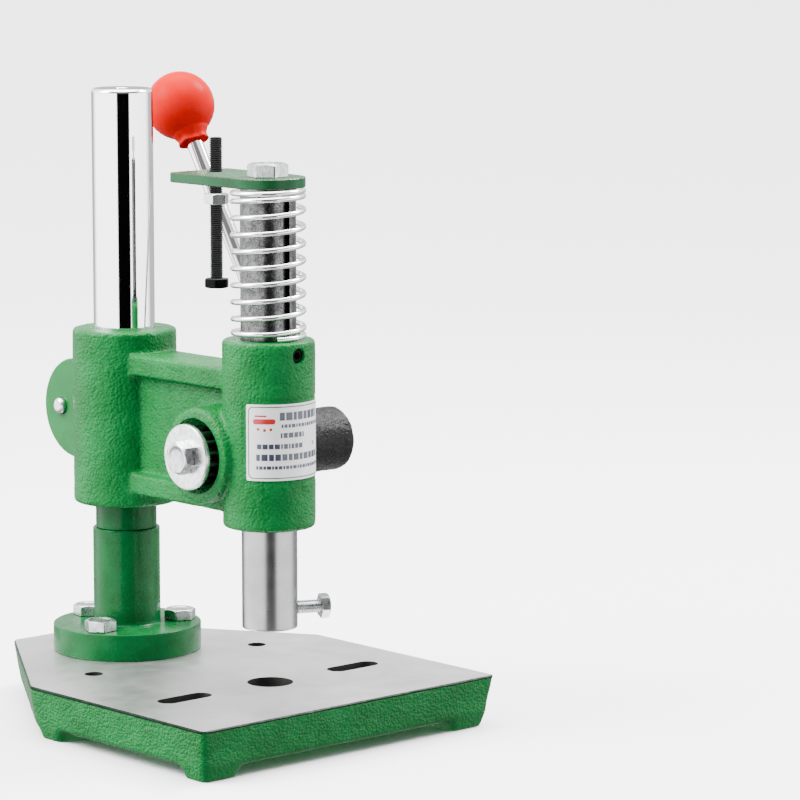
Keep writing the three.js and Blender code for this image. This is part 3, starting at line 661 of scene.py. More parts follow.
def ground_steel():
    """Surface-ground iron: fine straight grinding lines with a faint cloudy stain."""
    look = Look("ground_steel_top", (0.55, 0.55, 0.55), 0.36, 1.0)
    lines = look.noise(0.35, 3, 0.6, look.stretched((0.03, 1, 1)))
    tone = look.patches(look.noise(38, 4, 0.6), (0.57, 0.57, 0.57), (0.72, 0.72, 0.715), 0.3, 0.7)
    look.color(look.mix(look.ramp(lines, [(0.35, 0.0), (0.65, 0.25)]), tone, (0.36, 0.36, 0.36)))
    look.roughness(look.noise(14, 3), 0.36, 0.41)
    look.bump(lines, 0.003, 0.7)
    return look.material


def turned_steel(name, tone, rough, mottled=False):
    """Turned and oiled steel. The mottled form has the dull stains of a stored part."""
    look = Look(name, tone, rough, 1.0)
    rings = look.noise(0.4, 2, 0.5, look.stretched((0.04, 0.04, 1)))
    if mottled:
        specks = look.math("ADD", look.noise(0.7, 3, 0.65), look.math("MULTIPLY", look.noise(4, 2), 0.5))
        stain = look.ramp(specks, [(0.64, 0.0), (0.9, 1.0)])
        look.color(look.mix(stain, tone, tuple(4 * c for c in tone)))
        look.roughness(look.noise(3, 4), rough * 0.85, rough * 1.3)
    else:
        look.color(look.patches(look.noise(12, 3), tuple(0.82 * c for c in tone), tone, 0.3, 0.7))
        look.roughness(look.noise(9, 2), rough * 0.95, rough * 1.08)
    look.bump(rings, 0.01, 0.6)
    return look.material


def zinc(name, dull, bright):
    """Zinc plate: patches of brighter and duller skin, softly uneven."""
    look = Look(name, bright, 0.2, 1.0)
    look.color(look.patches(look.noise(3.5, 3), dull, bright))
    look.roughness(look.noise(3, 2), 0.22, 0.36)
    look.bump(look.noise(3.5, 2), 0.1, 0.6)
    return look.material


def spring_steel():
    look = Look("bright_spring_wire", (0.88, 0.88, 0.88), 0.12, 1.0)
    look.roughness(look.noise(2, 3), 0.08, 0.2)
    look.bump(look.noise(1.2, 2), 0.015, 0.5)
    return look.material


def black_oxide():
    look = Look("black_oxide", (0.003, 0.003, 0.0033), 0.36)
    look.set("Specular IOR Level", 0.04)
    look.color(look.patches(look.noise(2.5, 3), (0.0018, 0.0018, 0.002), (0.005, 0.005, 0.0055), 0.4, 0.7))
    look.roughness(look.noise(1.5, 3), 0.3, 0.5)
    look.bump(look.noise(0.6, 2), 0.02, 0.6)
    return look.material


def black_iron():
    """As-forged bar under thin black paint, pitted all over."""
    look = Look("black_rough_iron", (0.004, 0.004, 0.004), 0.2)
    look.set("Specular IOR Level", 0.16)
    pits = look.noise(1.1, 3, 0.6)
    look.color(look.patches(pits, (0.002, 0.002, 0.002), (0.007, 0.007, 0.007), 0.4, 0.7))
    look.roughness(look.noise(1.8, 3), 0.14, 0.3)
    look.bump(pits, 0.6)
    look.bump(look.noise(3.0, 2), 0.8, 0.7)
    return look.material


def dark_iron():
    look = Look("bare_dark_iron", (0.035, 0.034, 0.033), 0.5, 0.6)
    look.roughness(look.noise(2, 3), 0.4, 0.6)
    look.bump(look.noise(0.8, 3), 0.05, 0.6)
    return look.material


def edge_paint():
    """The dark line along the ground top's edge: a near-black green with little gloss on the thin chamfer
    there.
    """
    look = Look("dark_edge_line", (0.002, 0.012, 0.005), 0.4)
    look.set("Specular IOR Level", 0.05)
    look.color(look.patches(look.noise(4, 3), (0.001, 0.008, 0.003), (0.006, 0.02, 0.01)))
    look.roughness(look.noise(3, 2), 0.3, 0.5)
    look.bump(look.noise(1.5, 2), 0.1, 0.5)
    return look.material


def red_plastic():
    look = Look("red_knob_plastic", (0.4, 0.0014, 0.0006), 0.28)
    look.set("Specular IOR Level", 0.03)
    look.color(look.patches(look.noise(16, 2), (0.46, 0.0011, 0.0005), (0.53, 0.0014, 0.0006)))
    look.roughness(look.noise(5, 3), 0.24, 0.36)
    look.bump(look.noise(3, 2), 0.05, 0.5)
    return look.material


def label_film(name, color):
    look = Look(name, color, 0.35)
    look.set("Coat Weight", 0.3).set("Coat Roughness", 0.2)
    look.color(look.patches(look.noise(9, 3), tuple(0.93 * c for c in color), color))
    look.bump(look.noise(6, 2), 0.04, 0.5)
    return look.material


CAST_GREEN = cast_paint()
GREEN_PAINT = smooth_paint()
WORN_GREEN = worn_paint()
CHROME = chrome()
GROUND_TOP = ground_steel()
RAM_STEEL = turned_steel("satin_ram_steel", (0.3, 0.3, 0.3), 0.28)
RAM_OILY = turned_steel("mottled_ram_steel", (0.04, 0.04, 0.041), 0.29, mottled=True)
ZINC = zinc("bright_zinc", (0.5, 0.51, 0.52), (0.72, 0.73, 0.74))
HEAD_ZINC = zinc("dull_zinc", (0.4, 0.41, 0.42), (0.62, 0.63, 0.64))
SPRING_WIRE = spring_steel()
BLACK_OXIDE = black_oxide()
BLACK_IRON = black_iron()
DARK_IRON = dark_iron()
EDGE_PAINT = edge_paint()
RED_PLASTIC = red_plastic()
LABEL_WHITE = label_film("label_white", (0.8, 0.8, 0.815))
LABEL_INK = label_film("label_ink", (0.03, 0.038, 0.07))
LABEL_RED = label_film("label_red", (0.45, 0.008, 0.008))


# ---------------------------------------------------------------- base

BASE = {"half_width": 110.0, "front": -135.0, "shoulder": 22.0, "rear": 135.0, "rear_half_width": 38.0}
BASE_BOTTOM = 6.0
BASE_DRAFT = 3.0
MIDDLE_FOOT_Y = 10.0
WORK_HOLE_RADIUS = 13.3
WORK_SLOT = {"x": 63.4, "length": 36.0, "width": 13.0}
SMALL_HOLE = {"radius": 5.5, "x": 62.0, "y": 24.0}
POCKET = {"wall": 14.0, "roof": 17.0, "rib": 8.0, "cross_rib": 14.0}
BOSSES = {"column": 52.0, "work_hole": 24.0, "small_hole": 11.0}
CAST_FACE, GROUND_FACE, BORE_FACE, EDGE_FACE = range(4)  # the base's material indices


def base_outline(inset, radius=2.5):
    side = BASE["half_width"] - inset
    rear = BASE["rear_half_width"] - 0.6 * inset
    front, shoulder, back = BASE["front"] + inset, BASE["shoulder"] - 0.3 * inset, BASE["rear"] - inset
    corners = [(-side, front), (side, front), (side, shoulder)]
    corners += [(rear, back), (-rear, back), (-side, shoulder)]
    return round_corners(corners, radius)


def base_loft(levels):
    """A solid on the base's outline from (inset, height, corner radius) levels."""
    return ring_solid("base_loft", [at_height(base_outline(inset, radius), z) for inset, z, radius in levels])


def small_hole_tools(radius, z0):
    return [drill(radius, z0, 40, side * SMALL_HOLE["x"], SMALL_HOLE["y"]) for side in (-1, 1)]


def slot_tool(x):
    reach = (WORK_SLOT["length"] - WORK_SLOT["width"]) / 2
    radius = WORK_SLOT["width"] / 2
    outline = arc(x + reach, RAM_Y, radius, -90, 90, 24) + arc(x - reach, RAM_Y, radius, 90, 270, 24)
    return prism(outline, -5, BASE_TOP + 5)


def foot_places():
    side = BASE["half_width"] - BASE_DRAFT - 14.5
    rear = BASE["rear_half_width"] - BASE_DRAFT - 14.0
    end = BASE["rear"] - BASE_DRAFT - 12.0
    return [(s * x, y) for s in (-1, 1) for x, y in ((side, -end), (side, MIDDLE_FOOT_Y), (rear, end))]


def foot(x, y):
    """A foot that widens into the casting. Its draft and corners are what the pattern needs."""
    levels = ((12.0, 9.5, -1.2), (13.0, 10.5, 3.0), (15.0, 13.0, BASE_BOTTOM + 5))
    rings = [at_height(rectangle(-a, -b, a, b, 4) + (x, y), z) for a, b, z in levels]
    return ring_solid("foot", rings)


def underside():
    """What hollows the casting from below. The bosses and the ribs are left standing."""
    rib, cross_rib = POCKET["rib"], POCKET["cross_rib"]
    hollow = base_loft([(POCKET["wall"], 0, 6), (POCKET["wall"], POCKET["roof"], 6)])
    cut(hollow, drill(BOSSES["column"], -2, 40, 0, COLUMN_Y), drill(BOSSES["work_hole"], -2, 40, 0, RAM_Y))
    cut(hollow, block(-rib, rib, -200, 200, -2, 40))
    cut(hollow, block(-200, 200, RAM_Y - cross_rib, RAM_Y + cross_rib, -2, 40))
    return cut(hollow, *small_hole_tools(BOSSES["small_hole"], -2))


def base_face(centre, normal):
    """The material index for a face of the base."""
    if centre.z > BASE_TOP - 0.05 and normal.z > 0.9:
        return GROUND_FACE
    if centre.z > BASE_TOP - 1.3 and -0.2 < normal.z < 0.9 and not near_hole(centre):
        return EDGE_FACE
    return BORE_FACE if abs(normal.z) < 0.1 and near_hole(centre) else CAST_FACE


def make_base():
    levels = [(BASE_DRAFT + 0.6, BASE_BOTTOM, 5), (0.2, BASE_TOP - 0.6, 2.5), (-0.4, BASE_TOP + 5, 2.5)]
    body = cut(base_loft(levels), underside())
    base = cast("base", [body, *[foot(x, y) for x, y in foot_places()]], voxel=1.15, passes=14)
    roughened(base, amount=0.22, size=13)
    trim = base_loft([(-4, 0, 2), (-4, BASE_TOP - 4.2, 2), (1.1, BASE_TOP, 2)])
    boolean(base, trim, "INTERSECT")
    cut(base, drill(WORK_HOLE_RADIUS, -5, 40, 0, RAM_Y, 96))
    cut(base, slot_tool(-WORK_SLOT["x"]), slot_tool(WORK_SLOT["x"]))
    cut(base, *small_hole_tools(SMALL_HOLE["radius"], -5))
    paint_faces(base, base_face)
    looks = [CAST_GREEN, GROUND_TOP, DARK_IRON, EDGE_PAINT]
    finished(base, "base_plate_casting", "base", looks, ["base_plate"])
    for face in base.data.polygons:
        face.use_smooth = face.material_index != GROUND_FACE


def near_hole(centre):
    return any(
        math.hypot(max(0, abs(centre.x - x) - reach), centre.y - y) < radius + 0.4
        for x, y, reach, radius in hole_list()
    )


def hole_list():
    reach = (WORK_SLOT["length"] - WORK_SLOT["width"]) / 2
    holes = [(0.0, RAM_Y, 0.0, WORK_HOLE_RADIUS)]
    for side in (-1, 1):
        holes.append((side * WORK_SLOT["x"], RAM_Y, reach, WORK_SLOT["width"] / 2))
        holes.append((side * SMALL_HOLE["x"], SMALL_HOLE["y"], 0.0, SMALL_HOLE["radius"]))
    return holes


# ---------------------------------------------------------------- column

FLANGE_TOP = BASE_TOP + 16.1
FLANGE_BORE = 14.3
SOCKET_RADIUS = 20.0
SET_SCREW_HOLE = 4.2
FLANGE_BOLTS = [(98, 20), (202, 8), (330, 35)]  # bearing round the column, and the turn of the head
FLANGE_BOLT_CIRCLE = 32.0
STUB = {"radius": 14.0, "bottom": 34.0}
PAINT_LINE = 121.5


def make_flange():
    profile = rounded([
        (FLANGE_BORE, BASE_TOP + 0.1, 0), (FLANGE_RADIUS, BASE_TOP + 0.1, 0.6),
        (FLANGE_RADIUS, FLANGE_TOP, 0.9), (SOCKET_RADIUS, FLANGE_TOP, 2.2),
        (SOCKET_RADIUS, SOCKET_TOP, 0.9), (FLANGE_BORE, SOCKET_TOP, 0),
    ], 7)
    flange = place(turned("flange", profile, 160, loop=True), shift(0, COLUMN_Y, 0))
    rearwards = shift(0, COLUMN_Y, middle("socket_set_screw").z) @ turn(-90, "X")
    cut(flange, place(drill(SET_SCREW_HOLE, 0, 25), rearwards))
    roughened(flange, amount=0.05, size=9)
    finished(flange, "column_flange_casting", "base", [GREEN_PAINT], ["column_flange"])
    screw = place(socket_screw(FLANGE_BORE, 19.5, 2.6), rearwards)
    finished(screw, "socket_grub_screw", "base", [BLACK_OXIDE], ["socket_set_screw"])
    for number, (bearing, twist) in enumerate(FLANGE_BOLTS, 1):
        a = math.radians(bearing)
        x, y = FLANGE_BOLT_CIRCLE * math.cos(a), COLUMN_Y + FLANGE_BOLT_CIRCLE * math.sin(a)
        bolt = place(hex_bolt(M10, 14, dish=1.0), shift(x, y, FLANGE_TOP + 0.1) @ turn(twist, "Z"))
        plated(bolt, f"flange_hex_bolt_{number}", "base", HEAD_ZINC, f"flange_bolt_{number}")


def make_column():
    """The bar has a centre hole in its turned top. Its lower end is under the same paint as the flange."""
    r = COLUMN_RADIUS
    stub, bottom = STUB["radius"], STUB["bottom"]
    profile = rounded([
        (0.01, bottom, 0), (stub, bottom, 0.8), (stub, SOCKET_TOP + 0.1, 0.1), (r, SOCKET_TOP + 0.1, 0.4),
        (r, PAINT_LINE, 0), (r, PAINT_LINE + 0.05, 0), (r, COLUMN_TOP - 1.5, 0.7), (r - 1.5, COLUMN_TOP, 0.7),
        (4.0, COLUMN_TOP, 0.3), (2.2, COLUMN_TOP - 2.6, 0.2), (1.2, COLUMN_TOP - 6, 0),
        (0.01, COLUMN_TOP - 6.4, 0),
    ])
    column = place(turned("column", profile, 192), shift(0, COLUMN_Y, 0))
    paint_faces(column, lambda centre, normal: 1 if centre.z < PAINT_LINE else (2 if normal.z > 0.9 else 0))
    looks = [CHROME, GREEN_PAINT, RAM_STEEL]
    finished(column, "column_bar", "column", looks, ["column"], crease=25)


# ---------------------------------------------------------------- arm

LABEL = {"left": -69.0, "right": 51.0, "bottom": low("spec_label").z, "top": high("spec_label").z}
WEB = {"half": 10.5, "rib": 17.0, "rib_height": 12.5, "bottom": 128.5, "top": 211.5}
BOSS = {"radius": 27.5, "face": 32.0, "mouth": 22.5, "mouth_depth": 4.5, "bore": 17.3}
EAR = {"radius": 30.0, "reach": 63.5, "half": 12.0, "slit": 3.5}
GUIDE_HOLE = 4.2
BORE_GAP = 0.2
AT_PINION = shift(0, PINION_Y, PINION_Z)


def casing(size, y):
    """A casing before its edges are rounded: the smoothing draws it in, so it starts a little proud."""
    grow = 0.25
    radius, z0, z1 = size["radius"] + grow, size["bottom"] - grow, size["top"] + grow
    return place(turned("casing", rod_profile(radius, z0, z1, 1.6), 160), shift(0, y, 0))


def across(outline, half):
    """A prism on an outline of (y, z) points, from -half to +half in X."""
    rings = [[(x, y, z) for y, z in outline] for x in (-half, half)]
    return ring_solid("across", rings)


def ear_outline():
    centre = COLUMN_Y + EAR["reach"] - EAR["radius"]
    points = [(COLUMN_Y + 20, EAR_Z - EAR["radius"])] + arc(centre, EAR_Z, EAR["radius"], -90, 90, 60)
    return points + [(COLUMN_Y + 20, EAR_Z + EAR["radius"])]


def ears():
    """The two ears as one smooth plate with a softened rim, before the slit parts them."""
    outline = np.array(ear_outline())
    centre = np.array([COLUMN_Y + EAR["reach"] - EAR["radius"], EAR_Z])
    rings = []
    for x, inset in ((-1, 0.8), (-0.955, 0.2), (-0.93, 0.0), (0.93, 0.0), (0.955, 0.2), (1, 0.8)):
        pulled = centre + (outline - centre) * (1 - inset / EAR["radius"])
        rings.append([(x * EAR["half"], y, z) for y, z in pulled])
    return ring_solid("ears", rings)


def web_parts():
    ram_side, column_side = RAM_Y + 6, COLUMN_Y - 6
    z0, z1, h = WEB["bottom"], WEB["top"], WEB["rib_height"]
    slabs = ((WEB["half"], z0 + 2, z1 - 2), (WEB["rib"], z1 - h, z1), (WEB["rib"], z0, z0 + h))
    return [block(-half, half, ram_side, column_side, bottom, top) for half, bottom, top in slabs]


def boss():
    r, x = BOSS["radius"] + 0.2, BOSS["face"]
    profile = rounded([(0.01, -x, 0), (r, -x, 3.2), (r, x, 3.2), (0.01, x, 0)])
    return place(turned("boss", profile, 128), AT_PINION @ turn(90, "Y"))


def boss_bore():
    """The pinion's bore with the wide cored mouth at its left end."""
    x, r, mouth = BOSS["face"], BOSS["bore"], BOSS["mouth"]
    floor = -x + BOSS["mouth_depth"]
    profile = rounded([
        (0.01, -x - 3, 0), (mouth + 2, -x - 3, 0), (mouth - 1.5, -x + 1.2, 1.2), (r + 1.5, floor, 1.5),
        (r, floor + 1.5, 0), (r, x + 3, 0), (0.01, x + 3, 0),
    ])
    return place(turned("bore", profile, 128), AT_PINION @ turn(90, "Y"))


def cleared_for_label(arm):
    """Holds the casing's skin under the label to a smooth cylinder, so no grain shows through the film."""
    co = vectors_of(arm.data, "co") / MM
    out = np.hypot(co[:, 0], co[:, 1] - RAM_Y)
    angle = np.degrees(np.arctan2(co[:, 0], RAM_Y - co[:, 1]))
    inside = (angle > LABEL["left"] - 6) & (angle < LABEL["right"] + 6)
    inside &= (co[:, 2] > LABEL["bottom"] - 3) & (co[:, 2] < LABEL["top"] + 3) & (out > 25.5) & (out < 28)
    limit = RAM_CASING["radius"] - 0.05
    pull = np.where(inside & (out > limit), limit / np.maximum(out, 0.001), 1.0)
    co[:, 0] *= pull
    co[:, 1] = RAM_Y + (co[:, 1] - RAM_Y) * pull
    set_points(arm.data, co * MM)


def arm_face(centre, normal):
    """The material index for a face of the arm: 1 for the bores and the slit, 0 for the painted skin."""
    to_ram = math.hypot(centre.x, centre.y - RAM_Y)
    to_column = math.hypot(centre.x, centre.y - COLUMN_Y)
    to_pinion = math.hypot(centre.y - PINION_Y, centre.z - PINION_Z)
    in_slit = abs(centre.x) < EAR["slit"] / 2 + 0.05 and centre.y > COLUMN_Y
    bored = to_ram < RAM_RADIUS + BORE_GAP + 0.1 or to_column < COLUMN_RADIUS + BORE_GAP + 0.1
    return int(bored or to_pinion < BOSS["bore"] + 0.2 or in_slit)


def make_arm():
    parts = [casing(COLUMN_CASING, COLUMN_Y), casing(RAM_CASING, RAM_Y), *web_parts(), boss()]
    arm = cast("arm", parts, voxel=0.85, passes=11)
    roughened(arm, amount=0.16, size=9)
    cleared_for_label(arm)
    fused(arm, ears())
    low_z, high_z = 110, 240
    for radius, y in ((COLUMN_RADIUS, COLUMN_Y), (RAM_RADIUS, RAM_Y)):
        cut(arm, drill(radius + BORE_GAP, low_z, high_z, 0, y, 192))
    cut(arm, block(-EAR["slit"] / 2, EAR["slit"] / 2, COLUMN_Y, COLUMN_Y + 80, low_z, high_z))
    cut(arm, boss_bore(), cross_drill(M10["radius"] + 0.25, -20, 20, CLAMP_Y, EAR_Z))
    hole = turned("drill", [(GUIDE_HOLE + 0.7, 27.4), (GUIDE_HOLE, 25.6), (GUIDE_HOLE, 10)], 64)
    cut(arm, place(hole, shift(0, RAM_Y, GUIDE_Z) @ turn(90, "X")))
    paint_faces(arm, arm_face)
    looks = [CAST_GREEN, DARK_IRON]
    finished(arm, "arm_body_casting", "arm", looks, ["arm_casting"], crease=40)


def make_clamp_bolt():
    """The bolt across the ears. Its plain end stands a little out of the far ear."""
    face, r, thickness = EAR["half"], M10["radius"], 2.0
    ring = washer(10, thickness, (0.25, 0.5, 0.3), 96)
    place(ring, shift(face + 0.1, CLAMP_Y, EAR_Z) @ turn(90, "Y"))
    finished(ring, "clamp_flat_washer", "arm", [ZINC], ["clamp_washer"])
    bolt = hex_head(M10["flats"], M10["head"], dish=0.8)
    length = 2 * face + thickness + 3.6
    tip = [(0.01, -length, 0), (3.6, -length, 1.4), (r, -length + 1.6, 0.8)]
    fused(bolt, turned("shank", rounded([*tip, (r, 0.3, 0), (0.01, 0.3, 0)]), 64))
    place(bolt, shift(face + thickness + 0.2, CLAMP_Y, EAR_Z) @ turn(90, "Y"))
    plated(bolt, "clamp_hex_bolt", "clamp_screw", ZINC, "clamp_bolt")


def make_guide_screw():
    screw = socket_screw(16.6, RAM_CASING["radius"] - 1.6, 4.2)
    place(screw, shift(0, RAM_Y, GUIDE_Z) @ turn(90, "X"))
    finished(screw, "ram_guide_grub_screw", "arm", [BLACK_OXIDE], ["ram_guide_screw"])


# ---------------------------------------------------------------- label

LABEL_SKIN = 26.62
FILM_STEP = 1.5
PRINT_BASE = 0.13
PRINT_RISE = 0.03
PRINT_MARGIN = 2.6


def label_width():
    return math.radians(LABEL["right"] - LABEL["left"]) * LABEL_SKIN


def wrapped_patch(outline, rise, thickness):
    """A thin patch on the casing. Its (u, v) outline is in millimetres from the label's lower left."""
    bm = bmesh.new()
    edge = [bm.verts.new((u, v, 0)) for u, v in outline]
    bm.faces.new(edge)
    for k in range(1, int(max(u for u, _ in outline) / FILM_STEP) + 1):
        geometry = bm.verts[:] + bm.edges[:] + bm.faces[:]
        bmesh.ops.bisect_plane(bm, geom=geometry, plane_co=(k * FILM_STEP, 0, 0), plane_no=(1, 0, 0))
    bmesh.ops.triangulate(bm, faces=[f for f in bm.faces if len(f.verts) > 4])
    grown = bmesh.ops.extrude_face_region(bm, geom=bm.faces[:])
    top = {v for v in grown["geom"] if isinstance(v, bmesh.types.BMVert)}
    for v in bm.verts:
        radius = LABEL_SKIN + rise + (thickness if v in top else 0)
        angle = math.radians(LABEL["left"]) + v.co.x / LABEL_SKIN
        x, y = radius * math.sin(angle), RAM_Y - radius * math.cos(angle)
        v.co = Vector((x, y, LABEL["bottom"] + v.co.y)) * MM
    bmesh.ops.recalc_face_normals(bm, faces=bm.faces)
    bm.verts.index_update()
    points = [tuple(v.co) for v in bm.verts]
    # Extruding leaves the faces in an order that changes from run to run, so they are sorted.
    faces = sorted(tuple(v.index for v in face.verts) for face in bm.faces)
    bm.free()
    mesh = bpy.data.meshes.new("patch")
    mesh.from_pydata(points, [], faces)
    return link("patch", mesh)


def bar(u0, v0, width, height, radius=0.25):
    """The outline of a bar with rounded ends, from its lower left corner."""
    return rectangle(u0, v0, u0 + width, v0 + height, min(radius, height / 2.2, width / 2.2), 4)


def frame_outline(inset, corner):
    height = LABEL["top"] - LABEL["bottom"]
    return rectangle(inset, inset, label_width() - inset, height - inset, corner, 8)


def label_rows():
    """Plain bars where a rating label has its rows of print: (v, height, u start, bar widths, gap)."""
    wide = (2.2, 3.6, 2.8, 3.3, 3.1, 2.4, 3.5)
    even = (2.5, 3.0, 2.7, 3.1, 2.4, 2.9)
    fine = (1.2, 1.9, 1.5, 2.4, 1.1, 1.7, 2.1)
    return [
        (34.4, 4.6, 19.5, (3.1, 4.0, *wide[:6]), 0.7),
        (30.2, 2.0, 20.5, fine * 3, 0.55),
        (24.4, 2.9, 20, (1.1, *even[:3], 2.0, 1.1), 0.6),
        (18.2, 2.8, 6.5, (*even[:4], 1.1, *fine[3:7], 2.6), 0.6),
        (18.6, 2.2, 44, (1.3,), 1.0),
        (11.5, 3.7, 6, (*wide, *wide[:6]), 0.75),
        (6.6, 1.9, 6, fine * 4, 0.5),
    ]


def merged(pieces):
    """One object from several that don't touch."""
    whole = pieces[0]
    bm = bmesh.new()
    for piece in pieces:
        bm.from_mesh(piece.data)
    bm.to_mesh(whole.data)
    bm.free()
    for piece in pieces[1:]:
        bpy.data.objects.remove(piece)
    return whole


def print_marks(bars):
    """Printed marks on the film from the arguments of bar()."""
    return merged([wrapped_patch(bar(*mark), PRINT_BASE, PRINT_RISE) for mark in bars])


def label_bars():
    bars = []
    for v, height, u, widths, gap in label_rows():
        for width in widths:
            if u + width > label_width() - PRINT_MARGIN:
                break
            bars.append((u, v, width, height))
            u += width + gap
    return bars


def make_label():
    film = wrapped_patch(frame_outline(0, 1.2), -0.1, 0.22)
    finished(film, "label_film", "arm", [LABEL_WHITE], ["spec_label"], crease=40)
    border = wrapped_patch(frame_outline(1.2, 3.4), PRINT_BASE, PRINT_RISE)
    cut(border, wrapped_patch(frame_outline(1.75, 3.0), PRINT_BASE - 0.2, 0.6))
    finished(border, "label_border_line", "arm", [LABEL_INK])
    finished(print_marks(label_bars()), "label_print_bars", "arm", [LABEL_INK])
    dots = [(u, v, 1.6, 1.6, 0.7) for u, v in ((6.4, 28.8), (10.0, 28.2), (13.6, 28.6))]
    emblem = print_marks([(4.2, 32.4, 12.8, 3.0, 1.3), (5.0, 36.6, 7.0, 0.9, 0.4), *dots])
    finished(emblem, "label_red_marks", "arm", [LABEL_RED])


# ---------------------------------------------------------------- pinion, hub and lever

TEETH = 15
MODULE = 2.0
PITCH_RADIUS = TEETH * MODULE / 2
PRESSURE_ANGLE = math.radians(20)
PINION_STUB = {"radius": 12.0, "end": 45.8}
PINION_WASHER = {"radius": 19.0, "thickness": 3.2}
LEVER_FRAME = AT_PINION @ turn(-LEVER_LEAN, "X")


def gear_ring(x, tip_limit):
    """The pinion's outline at one place along its shaft, with a tooth gap towards the ram."""
    base = PITCH_RADIUS * math.cos(PRESSURE_ANGLE)
    root, tip = PITCH_RADIUS - 1.25 * MODULE, PITCH_RADIUS + MODULE
    step = TAU / TEETH

    def half_width(r):
        roll = math.sqrt(max(r / base, 1) ** 2 - 1)
        return step / 4 - 0.01 + math.tan(PRESSURE_ANGLE) - PRESSURE_ANGLE - (roll - math.atan(roll))

    flank = [(root, step / 2 - 0.004), (root + 0.15, half_width(base) + 0.05)]
    flank += [(r, half_width(r)) for r in np.linspace(base - 0.6, tip - 0.15, 7)]
    flank.append((tip, half_width(tip) - 0.012))
    ring = []
    for tooth in range(TEETH):
        centre = (tooth + 0.5) * step
        side = [(r, centre - w) for r, w in flank] + [(r, centre + w) for r, w in flank[::-1]]
        for r, a in side:
            r = min(r, tip_limit)
            ring.append((x, -r * math.cos(a), -r * math.sin(a)))
    return ring


def make_pinion():
    left, right = low("pinion_shaft").x, HUB_LEFT - 0.1
    tip = PITCH_RADIUS + MODULE
    ends = ((left, tip - 0.8), (left + 0.8, tip), (right - 0.5, tip), (right, tip - 0.5))
    pinion = ring_solid("pinion", [gear_ring(x, limit) for x, limit in ends])
    stub = rod_profile(PINION_STUB["radius"], right - 1, PINION_STUB["end"], 0.5)
    fused(pinion, place(turned("stub", stub, 96), turn(90, "Y")))
    place(pinion, AT_PINION)
    finished(pinion, "pinion_gear_shaft", "lever", [RAM_STEEL], ["pinion_shaft"], crease=25)
    thickness = PINION_WASHER["thickness"]
    ring = washer(PINION_WASHER["radius"], thickness, (0.3, 0.9, 0.4), 160)
    place(ring, AT_PINION @ shift(left - 0.1, 0, 0) @ turn(-90, "Y"))
    finished(ring, "pinion_end_washer", "lever", [ZINC], ["pinion_washer"])
    bolt = hex_bolt(M10, 20, dish=0.7)
    place(bolt, AT_PINION @ shift(left - thickness - 0.2, 0, 0) @ turn(-90, "Y") @ turn(12, "Z"))
    plated(bolt, "pinion_hex_bolt", "lever", HEAD_ZINC, "pinion_bolt")


def make_hub():
    """A length of black as-forged bar: the end is rounded and the skin is pitted."""
    r, right = HUB_RADIUS, HUB_RIGHT - 0.4
    profile = rounded([(0.01, HUB_LEFT, 0), (r, HUB_LEFT, 1.2), (r + 0.05, right, 3.4), (0.01, right, 0)], 9)
    hub = turned("hub", divided(profile, 0.7), 160)
    roughened(hub, amount=0.22, size=3.2)
    roughened(hub, amount=0.25, size=14)
    place(hub, turn(90, "Y"))
    cut(hub, drill(ROD_RADIUS + 0.15, -5, 30, LEVER_X, 0))
    place(hub, LEVER_FRAME)
    finished(hub, "lever_hub_forging", "lever", [BLACK_IRON], ["lever_hub"], crease=60)
    r, z0, z1 = HUB_PIN["radius"], HUB_PIN["low"], HUB_PIN["high"]
    pin = turned("pin", rounded([(0.01, z0, 0), (r, z0, 0.6), (r, z1, 0.6), (0.01, z1, 0)]), 48)
    place(pin, AT_PINION @ shift(middle("hub_pin").x, 0, 0))
    finished(pin, "hub_drive_pin", "lever", [ZINC], ["hub_pin"])


def make_lever():
    rod = turned("rod", rod_profile(ROD_RADIUS, 0, LEVER_LENGTH - 9, 0.6), 96)
    place(rod, LEVER_FRAME @ shift(LEVER_X, 0, 0))
    finished(rod, "lever_rod_bar", "lever", [CHROME], ["lever_rod"])
    knob = place(ball_knob(), LEVER_FRAME @ shift(LEVER_X, 0, LEVER_LENGTH))
    finished(knob, "red_ball_knob", "lever", [RED_PLASTIC], ["ball_knob"], crease=70)


# The knob's skirt below its neck: radius, height and the share of the ruffle at each ring.
SKIRT_LIP = (
    (8.7, -23.2, 1.1), (8.9, -24.0, 1.3), (9.0, -24.7, 1.4), (8.6, -25.0, 1.4),
    (8.0, -24.4, 1.2), (7.3, -23.4, 1.0), (6.4, -22.6, 0.5), (5.15, -22.2, 0.0),
)
NECK = {"start": math.radians(148), "radius": 8.7, "height": -22.3}
RUFFLE = 0.9


def ball_knob():
    """A moulded ball whose skirt is drawn in round the rod and ruffles out in a thin lip."""
    segments = 160
    a = angles_of(segments)
    ruffle = 0.55 * np.cos(2 * a + 0.5) + 0.3 * np.cos(5 * a + 1.0) + 0.15 * np.cos(9 * a)
    rings = []
    for t in np.linspace(0.01, NECK["start"], 64):
        rings.append(ring_at(BALL_RADIUS * math.sin(t), BALL_RADIUS * math.cos(t), segments))
    start_r, start_z = BALL_RADIUS * math.sin(NECK["start"]), BALL_RADIUS * math.cos(NECK["start"])
    for t in np.linspace(0.08, 1, 18):
        flow = t * t * (3 - 2 * t)
        radius = start_r + (NECK["radius"] - start_r) * (0.35 * t + 0.65 * flow)
        height = start_z + (NECK["height"] - start_z) * t
        pleat = RUFFLE * t * t * ruffle
        rings.append(ring_at(radius + pleat, height + 0.5 * pleat, segments))
    for radius, height, share in SKIRT_LIP:
        pleat = RUFFLE * share * ruffle
        rings.append(ring_at(radius + pleat, height + 0.3 * pleat, segments))
    rings.append(ring_at(SKIRT_LIP[-1][0], -10, segments))
    return ring_solid("knob", rings)


# ---------------------------------------------------------------- ram and what it carries

